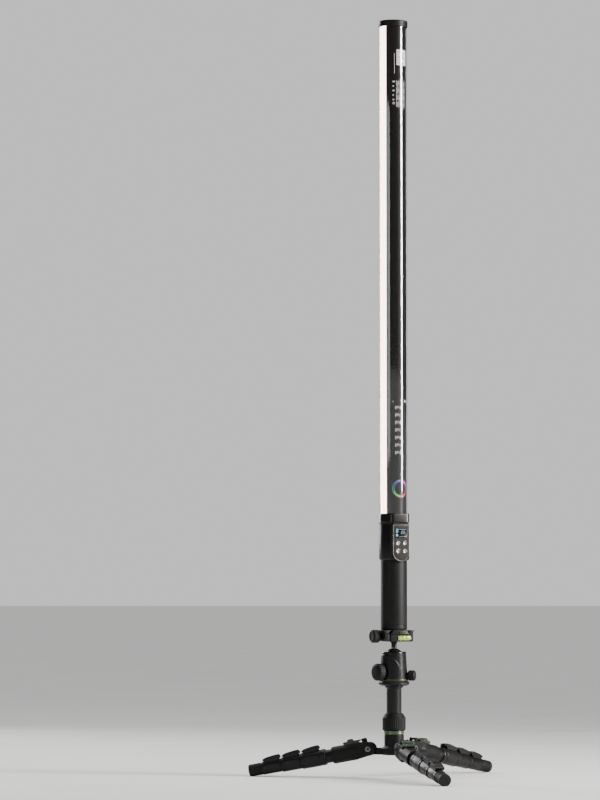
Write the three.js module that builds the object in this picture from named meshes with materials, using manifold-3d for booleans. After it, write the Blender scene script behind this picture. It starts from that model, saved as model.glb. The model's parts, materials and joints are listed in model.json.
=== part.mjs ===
// A battery LED tube light standing on a ball head and a compact four-section tripod, set to its lowest leg angle.
// Millimetres, +Z up. The feet stand on z = 0 and the origin is the centre of the footprint's rectangle.
import * as THREE from "three";
import { mergeVertices } from "three/addons/utils/BufferGeometryUtils.js";
import Module from "manifold-3d";

const wasm = await Module();
wasm.setup();

// ---------------------------------------------------------------- driving dimensions

const gap = 0.3; // between pieces that touch
const slideGap = 0.35; // between telescoping tubes
const rad = THREE.MathUtils.degToRad;

// Legs. Distances along a leg start at its hinge and run to the end of the foot.
const legs = { front_leg: -90, right_leg: 30, left_leg: 150 }; // name: bearing in degrees
const legFall = 10.75; // degrees below the horizontal at the widest angle stop
const legLength = 232;
const hingeRadius = 47; // from the column's axis to the hinge pin
const footRadius = 11.5;
const footLength = 24.7;
const footFlat = 1.2; // how deep the foot's lower edge is cut flat to the floor
const upperTubeRadius = 12.5;
const tubeWall = 1.15;
const collarRim = 2.7; // a lock collar over its tube
const collarLength = 37.8;
const collarPitch = 38.4;
const sleeveLength = 9; // of the first collar's plain end
const shoulderRadius = 16;
const shoulderLength = 70;
const knuckleRadius = 12.7;
const tongueWidth = 14;
const earWidth = 26; // over both ears of a shoulder
const pinRadius = 3;
const leverLength = 34.5; // from its collar's start
const leverWidth = 17;
const leverHeight = 9; // of a lock lever over its collar
const leverWrap = 5; // how far a lever's cheeks reach down the collar's sides

// Hub and column.
const columnRadius = 14;
const columnWall = 1.6;
const hubRadius = 18.3;
const hubHeight = 45;
const hubBelowHinge = 10.6;
const hubBandHeight = 7;
const armHeight = 13;
const lockRingRadius = 21.7;
const lockRingHeight = 31.5;
const columnShown = 48.5; // between the lock ring and the column's top plate
const topPlateRadius = 16.8;
const topPlateHeight = 2.2;

// Ball head.
const headTurn = 8.7; // degrees that the head and the light stand turned at rest
const baseRadius = 28.6;
const baseHeight = 8;
const spigotRadius = 11;
const spigotHeight = 6;
const housingFoot = 26.6; // outer radius at the foot
const housingTop = 23.6; // outer radius at the top
const housingHeight = 54.6;
const ballRadius = 18;
const ballClearance = 0.5;
const ballBelowRim = 11; // the ball's centre under the housing's rim
const stemRadius = 5.1;
const stemHeight = 11.4; // shown, from the ball to the clamp
const notchRadius = 6;
const mainKnob = { radius: 16, length: 16.4, bearing: -172.5, height: 17.3, shaft: 3 };
const panKnob = { radius: 9.8, length: 13.8, bearing: -40, height: 10.8, shaft: 2.4 };
const knobStart = 27.2; // from the head's axis to a knob's inner face

// Dovetail clamp and its plate.
const plateWidth = 38.4;
const plateLength = 50;
const plateHeight = 7.8;
const dovetailUndercut = 3.7; // each side of the plate at its waist
const clampWidth = 44;
const clampFloor = 13.3; // thickness under the channel
const jawThickness = 9.8; // outside the dovetail
const jawLip = { reach: 3.5, height: 3.6 }; // around the top of each jaw
const clampKnob = { radius: 12.2, length: 13, neck: 5, shaft: 2.2, underFloor: 3.4 };
const vial = { radius: 5, length: 27, across: 10.2 };
const plateScrewRadius = 3;

// Light.
const tubeRadius = 26.1;
const clearWall = 1.7;
const litLength = 912.5; // tube shown between the collar ring and the end cap
const tubeInsert = 14; // hidden in the collar ring
const backHalfAngle = 61; // degrees of the opaque back each side of the front
const innerWall = 1.3;
const backWall = 1.8;
const ledBoardWidth = 18;
const boardThickness = 1.6;
const capRadius = 27.4;
const capHeight = 11.5;
const capEdge = 1.6;
const capSkirt = 6;
const ringHeight = 16.4;
const podRadius = 27.5; // round back of the control housing
const podHalfWidth = 21;
const podFront = 28; // from the axis to the flat front
const podCorner = 8;
const housingLength = 70;
const housingBore = 24.4;
const handleRadius = 24.6;
const handleWall = 2.4;
const handleBase = 4;
const handleLength = 128.7;
const bezel = { width: 35, height: 68, thickness: 1.6, drop: 2.1 };
const display = { width: 26, height: 18, fromTop: 15.2, depth: 7 };
const button = { radius: 4.4, spacingX: 14.3, spacingZ: 14.6, firstFromTop: 34, proud: 1, travel: 1 };
const circuitBoard = { width: 26, height: 60, front: 19.4 };
const cell = { radius: 9.2, length: 66 };

// ---------------------------------------------------------------- solids from three.js geometry

const roundSides = 28; // of the large turned pieces
const smallSides = 16; // of leg tubes, knobs and pins

// A closed geometry as a solid that can be joined and cut.
function solid(geometry) {
  geometry.deleteAttribute("normal");
  geometry.deleteAttribute("uv");
  const merged = mergeVertices(geometry);
  return new wasm.Manifold(
    new wasm.Mesh({
      numProp: 3,
      vertProperties: merged.attributes.position.array,
      triVerts: new Uint32Array(merged.index.array),
    }),
  );
}

// A profile of [radius, height] points turned about Z. It starts and ends on the axis, or is closed here.
function turned(profile, sides = roundSides) {
  const points = profile.map(([r, z]) => new THREE.Vector2(r, z));
  if (profile[0][0] > 0) points.push(points[0].clone());
  const turn = (list) => solid(new THREE.LatheGeometry(list, sides).rotateX(Math.PI / 2));
  const made = turn(points);
  return made.volume() < 0 ? turn(points.reverse()) : made;
}

const rod = (radius, low, high, sides = smallSides) =>
  turned([[0, low], [radius, low], [radius, high], [0, high]], sides);

const pipe = (inner, outer, low, high, sides = roundSides) =>
  turned([[inner, low], [outer, low], [outer, high], [inner, high]], sides);

// The same profiles turned about X, for what lies along a leg.
const alongLeg = (profile, sides = smallSides) => moved(turned(profile, sides), { turnY: 90 });

// A flat outline in X and Y, extruded upwards.
const extruded = (shape, low, high, curveSegments = 8) =>
  solid(
    new THREE.ExtrudeGeometry(shape, { depth: high - low, bevelEnabled: false, curveSegments })
      .translate(0, 0, low),
  );

// A flat outline in X and Z, extruded to both sides of the XZ plane.
const sideways = (shape, width, curveSegments = 8) =>
  solid(
    new THREE.ExtrudeGeometry(shape, { depth: width, bevelEnabled: false, curveSegments })
      .translate(0, 0, -width / 2)
      .rotateX(Math.PI / 2),
  );

const block = (x0, x1, y0, y1, z0, z1) =>
  solid(
    new THREE.BoxGeometry(x1 - x0, y1 - y0, z1 - z0)
      .translate((x0 + x1) / 2, (y0 + y1) / 2, (z0 + z1) / 2),
  );

// A solid's mesh as a geometry.
function geometryOf(made) {
  const mesh = made.getMesh();
  const positions = new THREE.BufferAttribute(new Float32Array(mesh.vertProperties), 3);
  return new THREE.BufferGeometry()
    .setAttribute("position", positions)
    .setIndex(new THREE.BufferAttribute(new Uint32Array(mesh.triVerts), 1));
}

// A solid turned about X, Y or Z, in that order, and then shifted.
function moved(made, { turnX = 0, turnY = 0, turnZ = 0, by = [0, 0, 0] }) {
  const geometry = geometryOf(made);
  geometry.rotateX(rad(turnX)).rotateY(rad(turnY)).rotateZ(rad(turnZ)).translate(...by);
  return solid(geometry);
}

const outline = (points) => new THREE.Shape(points.map(([x, y]) => new THREE.Vector2(x, y)));

const joined = (first, ...others) => others.reduce((sum, next) => sum.add(next), first);

const cut = (first, ...others) => others.reduce((rest, next) => rest.subtract(next), first);

function add(group, name, made, material) {
  const geometry = geometryOf(made);
  geometry.computeVertexNormals();
  const mesh = new THREE.Mesh(geometry, material);
  mesh.name = name;
  group.add(mesh);
  return mesh;
}

function child(parent, { at = [0, 0, 0], turnY = 0, turnZ = 0 } = {}) {
  const group = new THREE.Group();
  group.position.set(...at);
  group.rotation.set(0, rad(turnY), rad(turnZ), "ZYX");
  parent.add(group);
  return group;
}

// ---------------------------------------------------------------- materials

const finish = (color, roughness, metalness, more = {}) =>
  new THREE.MeshStandardMaterial({ color, roughness, metalness, ...more });

const materials = {
  blackMetal: finish(0x141414, 0.45, 0.6),
  blackPlastic: finish(0x101011, 0.5, 0),
  gripPlastic: finish(0x151515, 0.75, 0),
  rubber: finish(0x121212, 0.85, 0),
  clear: finish(0xffffff, 0.05, 0, { transparent: true, opacity: 0.25 }),
  opal: finish(0xfff4ee, 0.6, 0, { emissive: 0xffe9e0 }),
  panel: finish(0x55524c, 0.4, 0.1),
  buttonGrey: finish(0x9a958c, 0.5, 0),
  screen: finish(0x0c1418, 0.1, 0),
  circuit: finish(0x1c4d2a, 0.5, 0),
  cellWrap: finish(0x2d4f8a, 0.4, 0),
  fluid: finish(0xa9c62a, 0.15, 0),
};

// ---------------------------------------------------------------- legs

const tubeRadii = [0, 1, 2, 3].map((n) => upperTubeRadius - n * (tubeWall + slideGap));
const footStart = legLength - footLength;
const firstCollar = footStart - 0.5 - 2 * collarPitch - collarLength;
const collarStart = (n) => firstCollar + n * collarPitch;
const nestStart = (n) => shoulderLength - 45 + 4 * n; // where section n's tube begins, inside the one before
const hingeHeight = legLength * Math.sin(rad(legFall)) + footRadius * Math.cos(rad(legFall)) - footFlat;

// The casting at the top of a leg: two ears and their pin, a socket for the tube, and lugs for the angle tab.
function shoulderSolid() {
  const ears = new THREE.Shape();
  ears.absarc(0, 0, knuckleRadius, Math.PI / 2, -Math.PI / 2, false);
  ears.lineTo(22, -shoulderRadius + 1);
  ears.lineTo(34, -shoulderRadius + 1);
  ears.lineTo(34, shoulderRadius - 1);
  ears.lineTo(6, shoulderRadius - 1);
  const socketRadius = tubeRadii[0] + gap;
  const barrel = alongLeg([
    [0, 18],
    [shoulderRadius - 2, 18],
    [shoulderRadius, 24],
    [shoulderRadius, shoulderLength - 8],
    [shoulderRadius - 1.8, shoulderLength],
    [0, shoulderLength],
  ]);
  const slot = block(-20, knuckleRadius + 0.8, -tongueWidth / 2 - gap, tongueWidth / 2 + gap, -25, knuckleRadius - 3.7);
  const socket = alongLeg([[0, 24], [socketRadius, 24], [socketRadius, shoulderLength + 1], [0, shoulderLength + 1]]);
  const pin = moved(rod(pinRadius, -earWidth / 2 - 1.5, earWidth / 2 + 1.5), { turnX: 90 });
  const lug = (side) =>
    block(2.5, 9.5, side * 6.6 - 1.6, side * 6.6 + 1.6, knuckleRadius - 2, tab.pivotHeight + 2.6);
  return joined(cut(joined(sideways(ears, earWidth), barrel), slot, socket), pin, lug(1), lug(-1));
}

// The flip tab that frees the leg's angle stop, lying along the shoulder's top.
const tab = { pivot: 6, pivotHeight: shoulderRadius + 2.9, end: 46, thickness: 2.4, halfWidth: 8, rootHalfWidth: 4.6 };

function tabSolid() {
  const low = tab.pivotHeight - tab.thickness / 2;
  const root = block(tab.pivot, 14, -tab.rootHalfWidth, tab.rootHalfWidth, low, low + tab.thickness);
  const barrel = moved(rod(2.2, -tab.rootHalfWidth, tab.rootHalfWidth, 12), {
    turnX: 90,
    by: [tab.pivot, 0, tab.pivotHeight],
  });
  const plate = block(12, tab.end, -tab.halfWidth, tab.halfWidth, low, low + tab.thickness);
  const ridge = sideways(outline([[27, low + 1], [37, low + 1], [35, low + 5.2], [29.5, low + 5.2]]), 2 * tab.halfWidth);
  return joined(root, barrel, plate, ridge);
}

// A lever's pivot, from its collar's start and over its rim, and the lug and pin that it turns on.
const lever = { pivot: 5, pivotRise: 4.3, rootRadius: 3.9, lugHalfWidth: 3.2, lugHalfLength: 2.3, lugRise: 2 };

// A leg tube with the lock collar on its lower end, and the lug that holds the collar's lever.
function sectionSolid(n) {
  const tube = tubeRadii[n];
  const bore = tube - tubeWall;
  const rim = tube + collarRim;
  const start = collarStart(n);
  const end = start + collarLength;
  const sleeve = n === 0 ? sleeveLength : 0;
  const body = alongLeg([
    [bore, n === 0 ? nestStart(0) + gap : nestStart(n)],
    [tube, n === 0 ? nestStart(0) + gap : nestStart(n)],
    [tube, start - sleeve],
    [rim, start - sleeve + 1.5],
    [rim, end - 1],
    [rim - 1, end],
    [bore, end],
  ]);
  const pivot = start + lever.pivot;
  const lug = block(
    pivot - lever.lugHalfLength,
    pivot + lever.lugHalfLength,
    -lever.lugHalfWidth,
    lever.lugHalfWidth,
    tube + 1,
    rim + lever.pivotRise + lever.lugRise,
  );
  return joined(body, lug);
}

// A lock lever, closed on its collar: a round root that turns on the lug, and a thumb tip at the foot's end.
function leverSolid(n) {
  const rim = tubeRadii[n] + collarRim;
  const start = collarStart(n);
  const end = start + leverLength;
  const top = rim + leverHeight;
  const low = rim - leverWrap;
  const pivot = start + lever.pivot;
  const side = new THREE.Shape();
  side.moveTo(pivot, low);
  side.lineTo(end - 8, low);
  side.lineTo(end, rim + 2);
  side.lineTo(end, top - 5.2);
  side.lineTo(end - 12, top - 1.6);
  side.lineTo(pivot + 3, top);
  side.lineTo(pivot - 1.2, top);
  side.absarc(pivot, rim + lever.pivotRise, lever.rootRadius, Math.PI, 1.5 * Math.PI, false);
  const room = gap + lever.lugHalfWidth;
  const roof = rim + lever.pivotRise + lever.lugRise + 1.2;
  const slot = block(start, pivot + 6, -room, room, rim - 1, roof);
  const collar = alongLeg([[0, start - 1], [rim + gap, start - 1], [rim + gap, end + 1], [0, end + 1]]);
  return cut(sideways(side, leverWidth, 4), slot, collar);
}

// The lower edge of a foot's end is cut flat to the floor, which lies level while the leg falls away.
function footSolid() {
  const bore = tubeRadii[3] + gap;
  const body = alongLeg([
    [bore, footStart],
    [footRadius - 1.5, footStart],
    [footRadius, footStart + 2],
    [footRadius, legLength],
    [0, legLength],
    [0, legLength - 8],
    [bore, legLength - 8],
  ]);
  const floor = moved(block(-40, 20, -20, 20, -10, footFlat), { turnY: -legFall, by: [legLength, 0, -footRadius] });
  return cut(body, floor);
}

function lowestTubeSolid() {
  const radius = tubeRadii[3];
  return alongLeg([
    [radius - tubeWall, nestStart(3)],
    [radius, nestStart(3)],
    [radius, legLength - 8 - gap],
    [radius - tubeWall, legLength - 8 - gap],
  ]);
}

function makeLeg(parent, name, bearing) {
  const hinge = child(child(parent, { turnZ: bearing }), { at: [hingeRadius, 0, hingeHeight], turnY: legFall });
  add(hinge, `${name}_shoulder`, shoulderSolid(), materials.blackMetal);
  add(hinge, `${name}_angle_tab`, tabSolid(), materials.blackMetal);
  add(hinge, `${name}_upper_tube`, sectionSolid(0), materials.blackMetal);
  add(hinge, `${name}_second_tube`, sectionSolid(1), materials.blackMetal);
  add(hinge, `${name}_third_tube`, sectionSolid(2), materials.blackMetal);
  add(hinge, `${name}_lowest_tube`, lowestTubeSolid(), materials.blackMetal);
  ["upper", "second", "third"].forEach((place, n) => {
    add(hinge, `${name}_${place}_lever`, leverSolid(n), materials.blackPlastic);
  });
  add(hinge, `${name}_foot`, footSolid(), materials.rubber);
}

// ---------------------------------------------------------------- hub and column

const hubLow = hingeHeight - hubBelowHinge;
const hubHigh = hubLow + hubHeight;
const columnBore = columnRadius + 0.4;

function hubSolid() {
  const sleeve = pipe(columnBore, hubRadius, hubLow, hubHigh);
  const band = pipe(columnBore, hubRadius + 0.6, hubHigh - hubBandHeight, hubHigh);
  const skirt = pipe(columnBore, hubRadius + 5.5, hubLow, hubLow + armHeight + 2);
  const arms = Object.values(legs).map((bearing) => {
    const side = new THREE.Shape();
    side.moveTo(columnBore + 1.5, hubLow);
    side.lineTo(hingeRadius - 9, hubLow);
    side.absarc(hingeRadius, hingeHeight, knuckleRadius - 5.2, -Math.PI / 2 - 0.5, Math.PI / 2, false);
    side.lineTo(hingeRadius - 14, hubLow + armHeight);
    side.lineTo(columnBore + 1.5, hubLow + armHeight);
    const eye = moved(rod(pinRadius + 0.4, -tongueWidth, tongueWidth), { turnX: 90, by: [hingeRadius, 0, hingeHeight] });
    return moved(cut(sideways(side, tongueWidth), eye), { turnZ: bearing });
  });
  return joined(sleeve, band, skirt, ...arms);
}

const lockLow = hubHigh + gap;
const lockHigh = lockLow + lockRingHeight;

const lockRingSolid = () =>
  turned([
    [columnRadius + 0.6, lockLow],
    [lockRingRadius - 1, lockLow],
    [lockRingRadius, lockLow + 2],
    [lockRingRadius, lockHigh - 7.5],
    [lockRingRadius - 5.3, lockHigh],
    [columnRadius + 0.6, lockHigh],
  ]);

const plateLow = lockHigh + columnShown;
const columnTop = plateLow + topPlateHeight;

const columnSolid = () =>
  turned([
    [columnRadius - columnWall, hubLow + 1],
    [columnRadius, hubLow + 1],
    [columnRadius, plateLow - 3],
    [topPlateRadius, plateLow],
    [topPlateRadius, columnTop],
    [0, columnTop],
    [0, columnTop - 5],
    [columnRadius - columnWall, columnTop - 6],
  ]);

// ---------------------------------------------------------------- ball head

const baseLow = columnTop + gap;
const baseHigh = baseLow + baseHeight;
const headLow = baseHigh + gap;
const headHigh = headLow + housingHeight;
const ballHeight = headHigh - ballBelowRim;
const cavityRadius = ballRadius + ballClearance;

const headBaseSolid = () =>
  turned([
    [0, baseLow],
    [baseRadius - 3.6, baseLow],
    [baseRadius, baseLow + 2.4],
    [baseRadius, baseHigh - 1.8],
    [baseRadius - 1.2, baseHigh],
    [spigotRadius, baseHigh],
    [spigotRadius, baseHigh + spigotHeight],
    [0, baseHigh + spigotHeight],
  ]);

// A knob's own frame has its axis along +X and its inner face at knobStart.
const onKnobAxis = (made, knob) => moved(made, { turnY: 90, turnZ: knob.bearing, by: [0, 0, headLow + knob.height] });

function headHousingSolid() {
  const rimHeight = ballBelowRim - 2.3;
  const rimAngle = Math.asin(rimHeight / cavityRadius);
  const dome = [0, 1, 2, 3, 4].map((n) => {
    const angle = (rimAngle * n) / 4;
    return [cavityRadius * Math.cos(angle), ballHeight + cavityRadius * Math.sin(angle)];
  });
  const bore = spigotRadius + 0.4;
  const shell = turned([
    [bore, headLow],
    [housingFoot, headLow],
    [housingFoot - 0.9, headLow + 24],
    [housingTop, headHigh - 2],
    [housingTop - 1.4, headHigh],
    [cavityRadius + 0.3, headHigh],
    ...dome.reverse(),
    [cavityRadius, ballHeight - 16],
    [cavityRadius - 5, ballHeight - cavityRadius],
    [bore, ballHeight - cavityRadius - 3],
  ]);
  const notch = new THREE.Shape();
  notch.absarc(0, ballHeight, notchRadius, Math.PI, 0, false);
  notch.lineTo(notchRadius + 5, headHigh + 1);
  notch.lineTo(-notchRadius - 5, headHigh + 1);
  const slot = moved(sideways(notch, 30), { by: [0, 25, 0] });
  const knobHole = (knob) => onKnobAxis(rod(knob.shaft + 0.4, 21, 40), knob);
  const boss = (knob, radius) => onKnobAxis(rod(radius, 20.5, knobStart - gap), knob);
  const bosses = joined(boss(mainKnob, 9), boss(panKnob, 6));
  return cut(joined(shell, bosses), slot, knobHole(mainKnob), knobHole(panKnob));
}

// A head knob with its shaft in the housing's blind hole.
function headKnobSolid(knob) {
  const end = knobStart + knob.length;
  return onKnobAxis(
    turned(
      [
        [0, 22],
        [knob.shaft, 22],
        [knob.shaft, knobStart],
        [knob.radius - 2, knobStart],
        [knob.radius, knobStart + 2],
        [knob.radius, end - 3],
        [knob.radius - 2.5, end],
        [0, end],
      ],
      smallSides,
    ),
    knob,
  );
}

const ballSolid = () =>
  solid(new THREE.SphereGeometry(ballRadius, 24, 12).rotateX(Math.PI / 2).translate(0, 0, ballHeight));

const stemLow = ballHeight + ballRadius + gap;
const stemHigh = stemLow + stemHeight;

const stemSolid = () =>
  turned(
    [
      [0, stemLow],
      [stemRadius, stemLow],
      [stemRadius, stemHigh - 2],
      [stemRadius + 2, stemHigh],
      [4, stemHigh],
      [4, stemHigh + 5],
      [0, stemHigh + 5],
    ],
    smallSides,
  );

// ---------------------------------------------------------------- dovetail clamp
// The channel runs along Y, with the moving jaw and its knob at -X.

const clampLow = stemHigh + gap;
const floorTop = clampLow + clampFloor;
const dovetailLow = floorTop + gap;
const plateTop = dovetailLow + plateHeight;
const jawTop = plateTop - gap;
const screwHeight = floorTop - clampKnob.underFloor;
const grip = plateWidth / 2; // the dovetail's half width at its foot
const waist = grip - dovetailUndercut;
const waistRise = dovetailLow + 1 + dovetailUndercut;
const jawSplit = -grip + 1;

// The side of a jaw that faces the dovetail, from the channel's floor to the jaw's top, at +X.
const jawFace = [
  [grip + gap, floorTop],
  [grip + gap, dovetailLow + 1 + 0.5],
  [waist + gap, waistRise + 0.5],
  [waist + gap, jawTop],
];

function clampBodySolid() {
  const outer = grip + jawThickness;
  const side = outline([
    [jawSplit, clampLow],
    [outer - 1.4, clampLow],
    [outer, clampLow + 2],
    [outer, jawTop - jawLip.height],
    [outer + jawLip.reach, jawTop - 1],
    [outer + jawLip.reach, jawTop],
    ...jawFace.slice().reverse(),
    [jawSplit, floorTop],
  ]);
  const body = sideways(side, clampWidth);
  const vialRoom = moved(rod(vial.radius + gap, -vial.length / 2 - gap, vial.length / 2 + gap), {
    turnY: 90,
    by: [vial.across, -clampWidth / 2 + 2.4, clampLow + clampFloor / 2],
  });
  const stemHole = rod(4.4, clampLow - 1, clampLow + 6);
  const screwHole = moved(rod(clampKnob.shaft + 0.4, -30, -6), { turnY: 90, by: [0, 0, screwHeight] });
  return cut(body, vialRoom, stemHole, screwHole);
}

function clampJawSolid() {
  const outer = grip + jawThickness;
  const mirrored = jawFace.map(([x, z]) => [-x, z]);
  const side = outline([
    [jawSplit - gap, clampLow + 0.5],
    [jawSplit - gap, floorTop],
    ...mirrored,
    [-outer - jawLip.reach, jawTop],
    [-outer - jawLip.reach, jawTop - 1],
    [-outer, jawTop - jawLip.height],
    [-outer, clampLow + 2],
    [-outer + 2, clampLow + 0.5],
  ]);
  const screwHole = moved(rod(clampKnob.shaft + 0.4, -40, -10), { turnY: 90, by: [0, 0, screwHeight] });
  return cut(sideways(side, clampWidth - 4), screwHole);
}

function clampKnobSolid() {
  const outer = grip + jawThickness + gap;
  const neck = outer + clampKnob.neck;
  const end = neck + clampKnob.length;
  const profile = [
    [0, 8],
    [clampKnob.shaft, 8],
    [clampKnob.shaft, outer],
    [6.2, outer],
    [6.2, neck],
    [clampKnob.radius - 2, neck],
    [clampKnob.radius, neck + 2],
    [clampKnob.radius, end - 2.5],
    [clampKnob.radius - 2, end],
    [0, end],
  ];
  return moved(turned(profile, smallSides), { turnY: -90, by: [0, 0, screwHeight] });
}

const vialSolid = () =>
  moved(rod(vial.radius, -vial.length / 2, vial.length / 2, 16), {
    turnY: 90,
    by: [vial.across, -clampWidth / 2 + 2.4, clampLow + clampFloor / 2],
  });

function plateSolid() {
  const side = outline([
    [-grip, dovetailLow],
    [grip, dovetailLow],
    [grip, dovetailLow + 1],
    [waist, waistRise],
    [waist, plateTop],
    [-waist, plateTop],
    [-waist, waistRise],
    [-grip, dovetailLow + 1],
  ]);
  return joined(sideways(side, plateLength), rod(plateScrewRadius, plateTop - 1, plateTop + handleBase));
}

// ---------------------------------------------------------------- light
// The control panel faces -Y. The lit side of the tube is the rest of its circumference.

const handleLow = plateTop + gap;
const handleHigh = handleLow + handleLength;
const housingLow = handleHigh + gap;
const housingHigh = housingLow + housingLength;
const ringLow = housingHigh + gap;
const ringHigh = ringLow + ringHeight;
const tubeLow = ringHigh - tubeInsert;
const capLow = ringHigh + litLength;
const tubeHigh = capLow + capSkirt - gap;
const insideLow = tubeLow + gap;
const insideHigh = tubeHigh - 1;
const innerRadius = tubeRadius - clearWall - slideGap; // outer radius of the diffuser and the back
const chordDepth = innerRadius * Math.cos(rad(backHalfAngle)); // from the axis to the back's flat face

const handleSolid = () =>
  cut(
    turned([
      [0, handleLow],
      [handleRadius - 2, handleLow],
      [handleRadius, handleLow + 2.5],
      [handleRadius, handleHigh],
      [handleRadius - handleWall, handleHigh],
      [handleRadius - handleWall, handleLow + handleBase],
      [0, handleLow + handleBase],
    ]),
    rod(plateScrewRadius + 0.3, handleLow - 1, handleLow + handleBase + 1),
  );

// Three cells side by side in a triangle.
function batterySolid() {
  const low = handleLow + handleBase + 2;
  const spread = (2 * (cell.radius - 0.3)) / Math.sqrt(3);
  const cells = [90, 210, 330].map((bearing) =>
    moved(rod(cell.radius, low, low + cell.length), {
      by: [spread * Math.cos(rad(bearing)), spread * Math.sin(rad(bearing)), 0],
    }),
  );
  return joined(...cells);
}

// The control housing's outline: a round back and a wide flat front with round corners.
function podShape() {
  const shape = new THREE.Shape();
  const cornerX = podHalfWidth - podCorner;
  const cornerY = -podFront + podCorner;
  shape.absarc(0, 0, podRadius, rad(-20), rad(200), false);
  shape.absarc(-cornerX, cornerY, podCorner, rad(190), rad(270), false);
  shape.absarc(cornerX, cornerY, podCorner, rad(270), rad(350), false);
  return shape;
}

const bezelTop = housingHigh - 4.2;
const bezelLow = bezelTop - bezel.height;
const displayHeight = bezelTop - display.fromTop;
const buttonPlaces = {
  button_upper_left: [-1, 0],
  button_upper_right: [1, 0],
  button_lower_left: [-1, 1],
  button_lower_right: [1, 1],
};
const buttonCentre = ([side, row]) => [
  (side * button.spacingX) / 2,
  bezelTop - button.firstFromTop - row * button.spacingZ,
];

// A hole along Y through the front wall for each button and for the display, wider by the margin.
function frontHoles(margin) {
  const holes = Object.values(buttonPlaces).map((place) => {
    const [x, z] = buttonCentre(place);
    return moved(rod(button.radius + margin, 0, 60), { turnX: 90, by: [x, 0, z] });
  });
  const halfWidth = display.width / 2 + margin;
  const halfHeight = display.height / 2 + margin;
  return [...holes, block(-halfWidth, halfWidth, -60, 0, displayHeight - halfHeight, displayHeight + halfHeight)];
}

const controlHousingSolid = () =>
  cut(extruded(podShape(), housingLow, housingHigh), rod(housingBore, housingLow - 1, housingHigh + 1, roundSides), ...frontHoles(gap));

const collarRingSolid = () =>
  cut(
    extruded(podShape(), ringLow, ringHigh),
    rod(tubeRadius + gap, tubeLow - gap, ringHigh + 1, roundSides),
    rod(tubeRadius - 6, ringLow - 1, ringHigh, roundSides),
  );

function bezelSolid() {
  const half = bezel.width / 2;
  const shape = new THREE.Shape();
  shape.moveTo(-half, bezelTop - 2);
  shape.lineTo(-half + 2, bezelTop);
  shape.lineTo(half - 2, bezelTop);
  shape.lineTo(half, bezelTop - 2);
  shape.absarc(0, bezelLow + half, half, 0, -Math.PI, true);
  const plate = moved(sideways(shape, bezel.thickness, 12), { by: [0, -podFront - gap - bezel.thickness / 2, 0] });
  return cut(plate, ...frontHoles(gap));
}

const displaySolid = () => {
  const front = -podFront - gap - bezel.thickness + 0.5;
  const [w, h] = [display.width / 2, display.height / 2];
  return block(-w, w, front, front + display.depth, displayHeight - h, displayHeight + h);
};

const buttonSolid = (place) => {
  const [x, z] = buttonCentre(place);
  const front = podFront + gap + bezel.thickness + button.proud;
  return moved(rod(button.radius, circuitBoard.front + button.travel + gap, front, 16), { turnX: 90, by: [x, 0, z] });
};

const circuitBoardSolid = () => {
  const middle = (housingLow + housingHigh) / 2;
  const [w, h] = [circuitBoard.width / 2, circuitBoard.height / 2];
  return block(-w, w, -circuitBoard.front, -circuitBoard.front + boardThickness, middle - h, middle + h);
};

const clearTubeSolid = () => pipe(tubeRadius - clearWall, tubeRadius, tubeLow, tubeHigh);

// A band of the circumference between two angles, in degrees.
function band(inner, outer, from, to) {
  const shape = new THREE.Shape();
  shape.absarc(0, 0, outer, rad(from), rad(to), false);
  shape.absarc(0, 0, inner, rad(to), rad(from), true);
  return shape;
}

const diffuserSolid = () =>
  extruded(
    band(innerRadius - innerWall, innerRadius, -90 + backHalfAngle + 0.8, 270 - backHalfAngle - 0.8),
    insideLow,
    insideHigh,
    24,
  );

// The opaque back: a hollow D whose flat face carries the LED board.
function backSolid() {
  const edge = (radius, depth) => {
    const half = Math.acos(depth / radius);
    const shape = new THREE.Shape();
    shape.absarc(0, 0, radius, -Math.PI / 2 - half, -Math.PI / 2 + half, false);
    return shape;
  };
  const shape = edge(innerRadius, chordDepth);
  shape.holes.push(edge(innerRadius - backWall, chordDepth + backWall));
  return extruded(shape, insideLow, insideHigh, 14);
}

const ledBoardSolid = () =>
  block(
    -ledBoardWidth / 2,
    ledBoardWidth / 2,
    -chordDepth + gap,
    -chordDepth + gap + boardThickness,
    insideLow + 2,
    insideHigh - 2,
  );

const endCapSolid = () =>
  turned([
    [0, capLow + capSkirt],
    [tubeRadius + gap, capLow + capSkirt],
    [tubeRadius + gap, capLow],
    [capRadius, capLow],
    [capRadius, capLow + capHeight - capEdge],
    [capRadius - capEdge, capLow + capHeight],
    [0, capLow + capHeight],
  ]);

// ---------------------------------------------------------------- assembly

function makeTripod(parent) {
  Object.entries(legs).forEach(([name, bearing]) => makeLeg(parent, name, bearing));
  add(parent, "hub", hubSolid(), materials.blackMetal);
  add(parent, "column_lock_ring", lockRingSolid(), materials.rubber);
  add(parent, "center_column", columnSolid(), materials.blackMetal);
}

function makeHead(parent) {
  add(parent, "head_base", headBaseSolid(), materials.blackMetal);
  add(parent, "head_housing", headHousingSolid(), materials.blackMetal);
  add(parent, "main_lock_knob", headKnobSolid(mainKnob), materials.rubber);
  add(parent, "pan_lock_knob", headKnobSolid(panKnob), materials.rubber);
  add(parent, "ball", ballSolid(), materials.blackMetal);
  add(parent, "ball_stem", stemSolid(), materials.blackMetal);
  add(parent, "clamp_body", clampBodySolid(), materials.blackMetal);
  add(parent, "clamp_jaw", clampJawSolid(), materials.blackMetal);
  add(parent, "clamp_knob", clampKnobSolid(), materials.rubber);
  add(parent, "level_vial", vialSolid(), materials.fluid);
}

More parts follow.
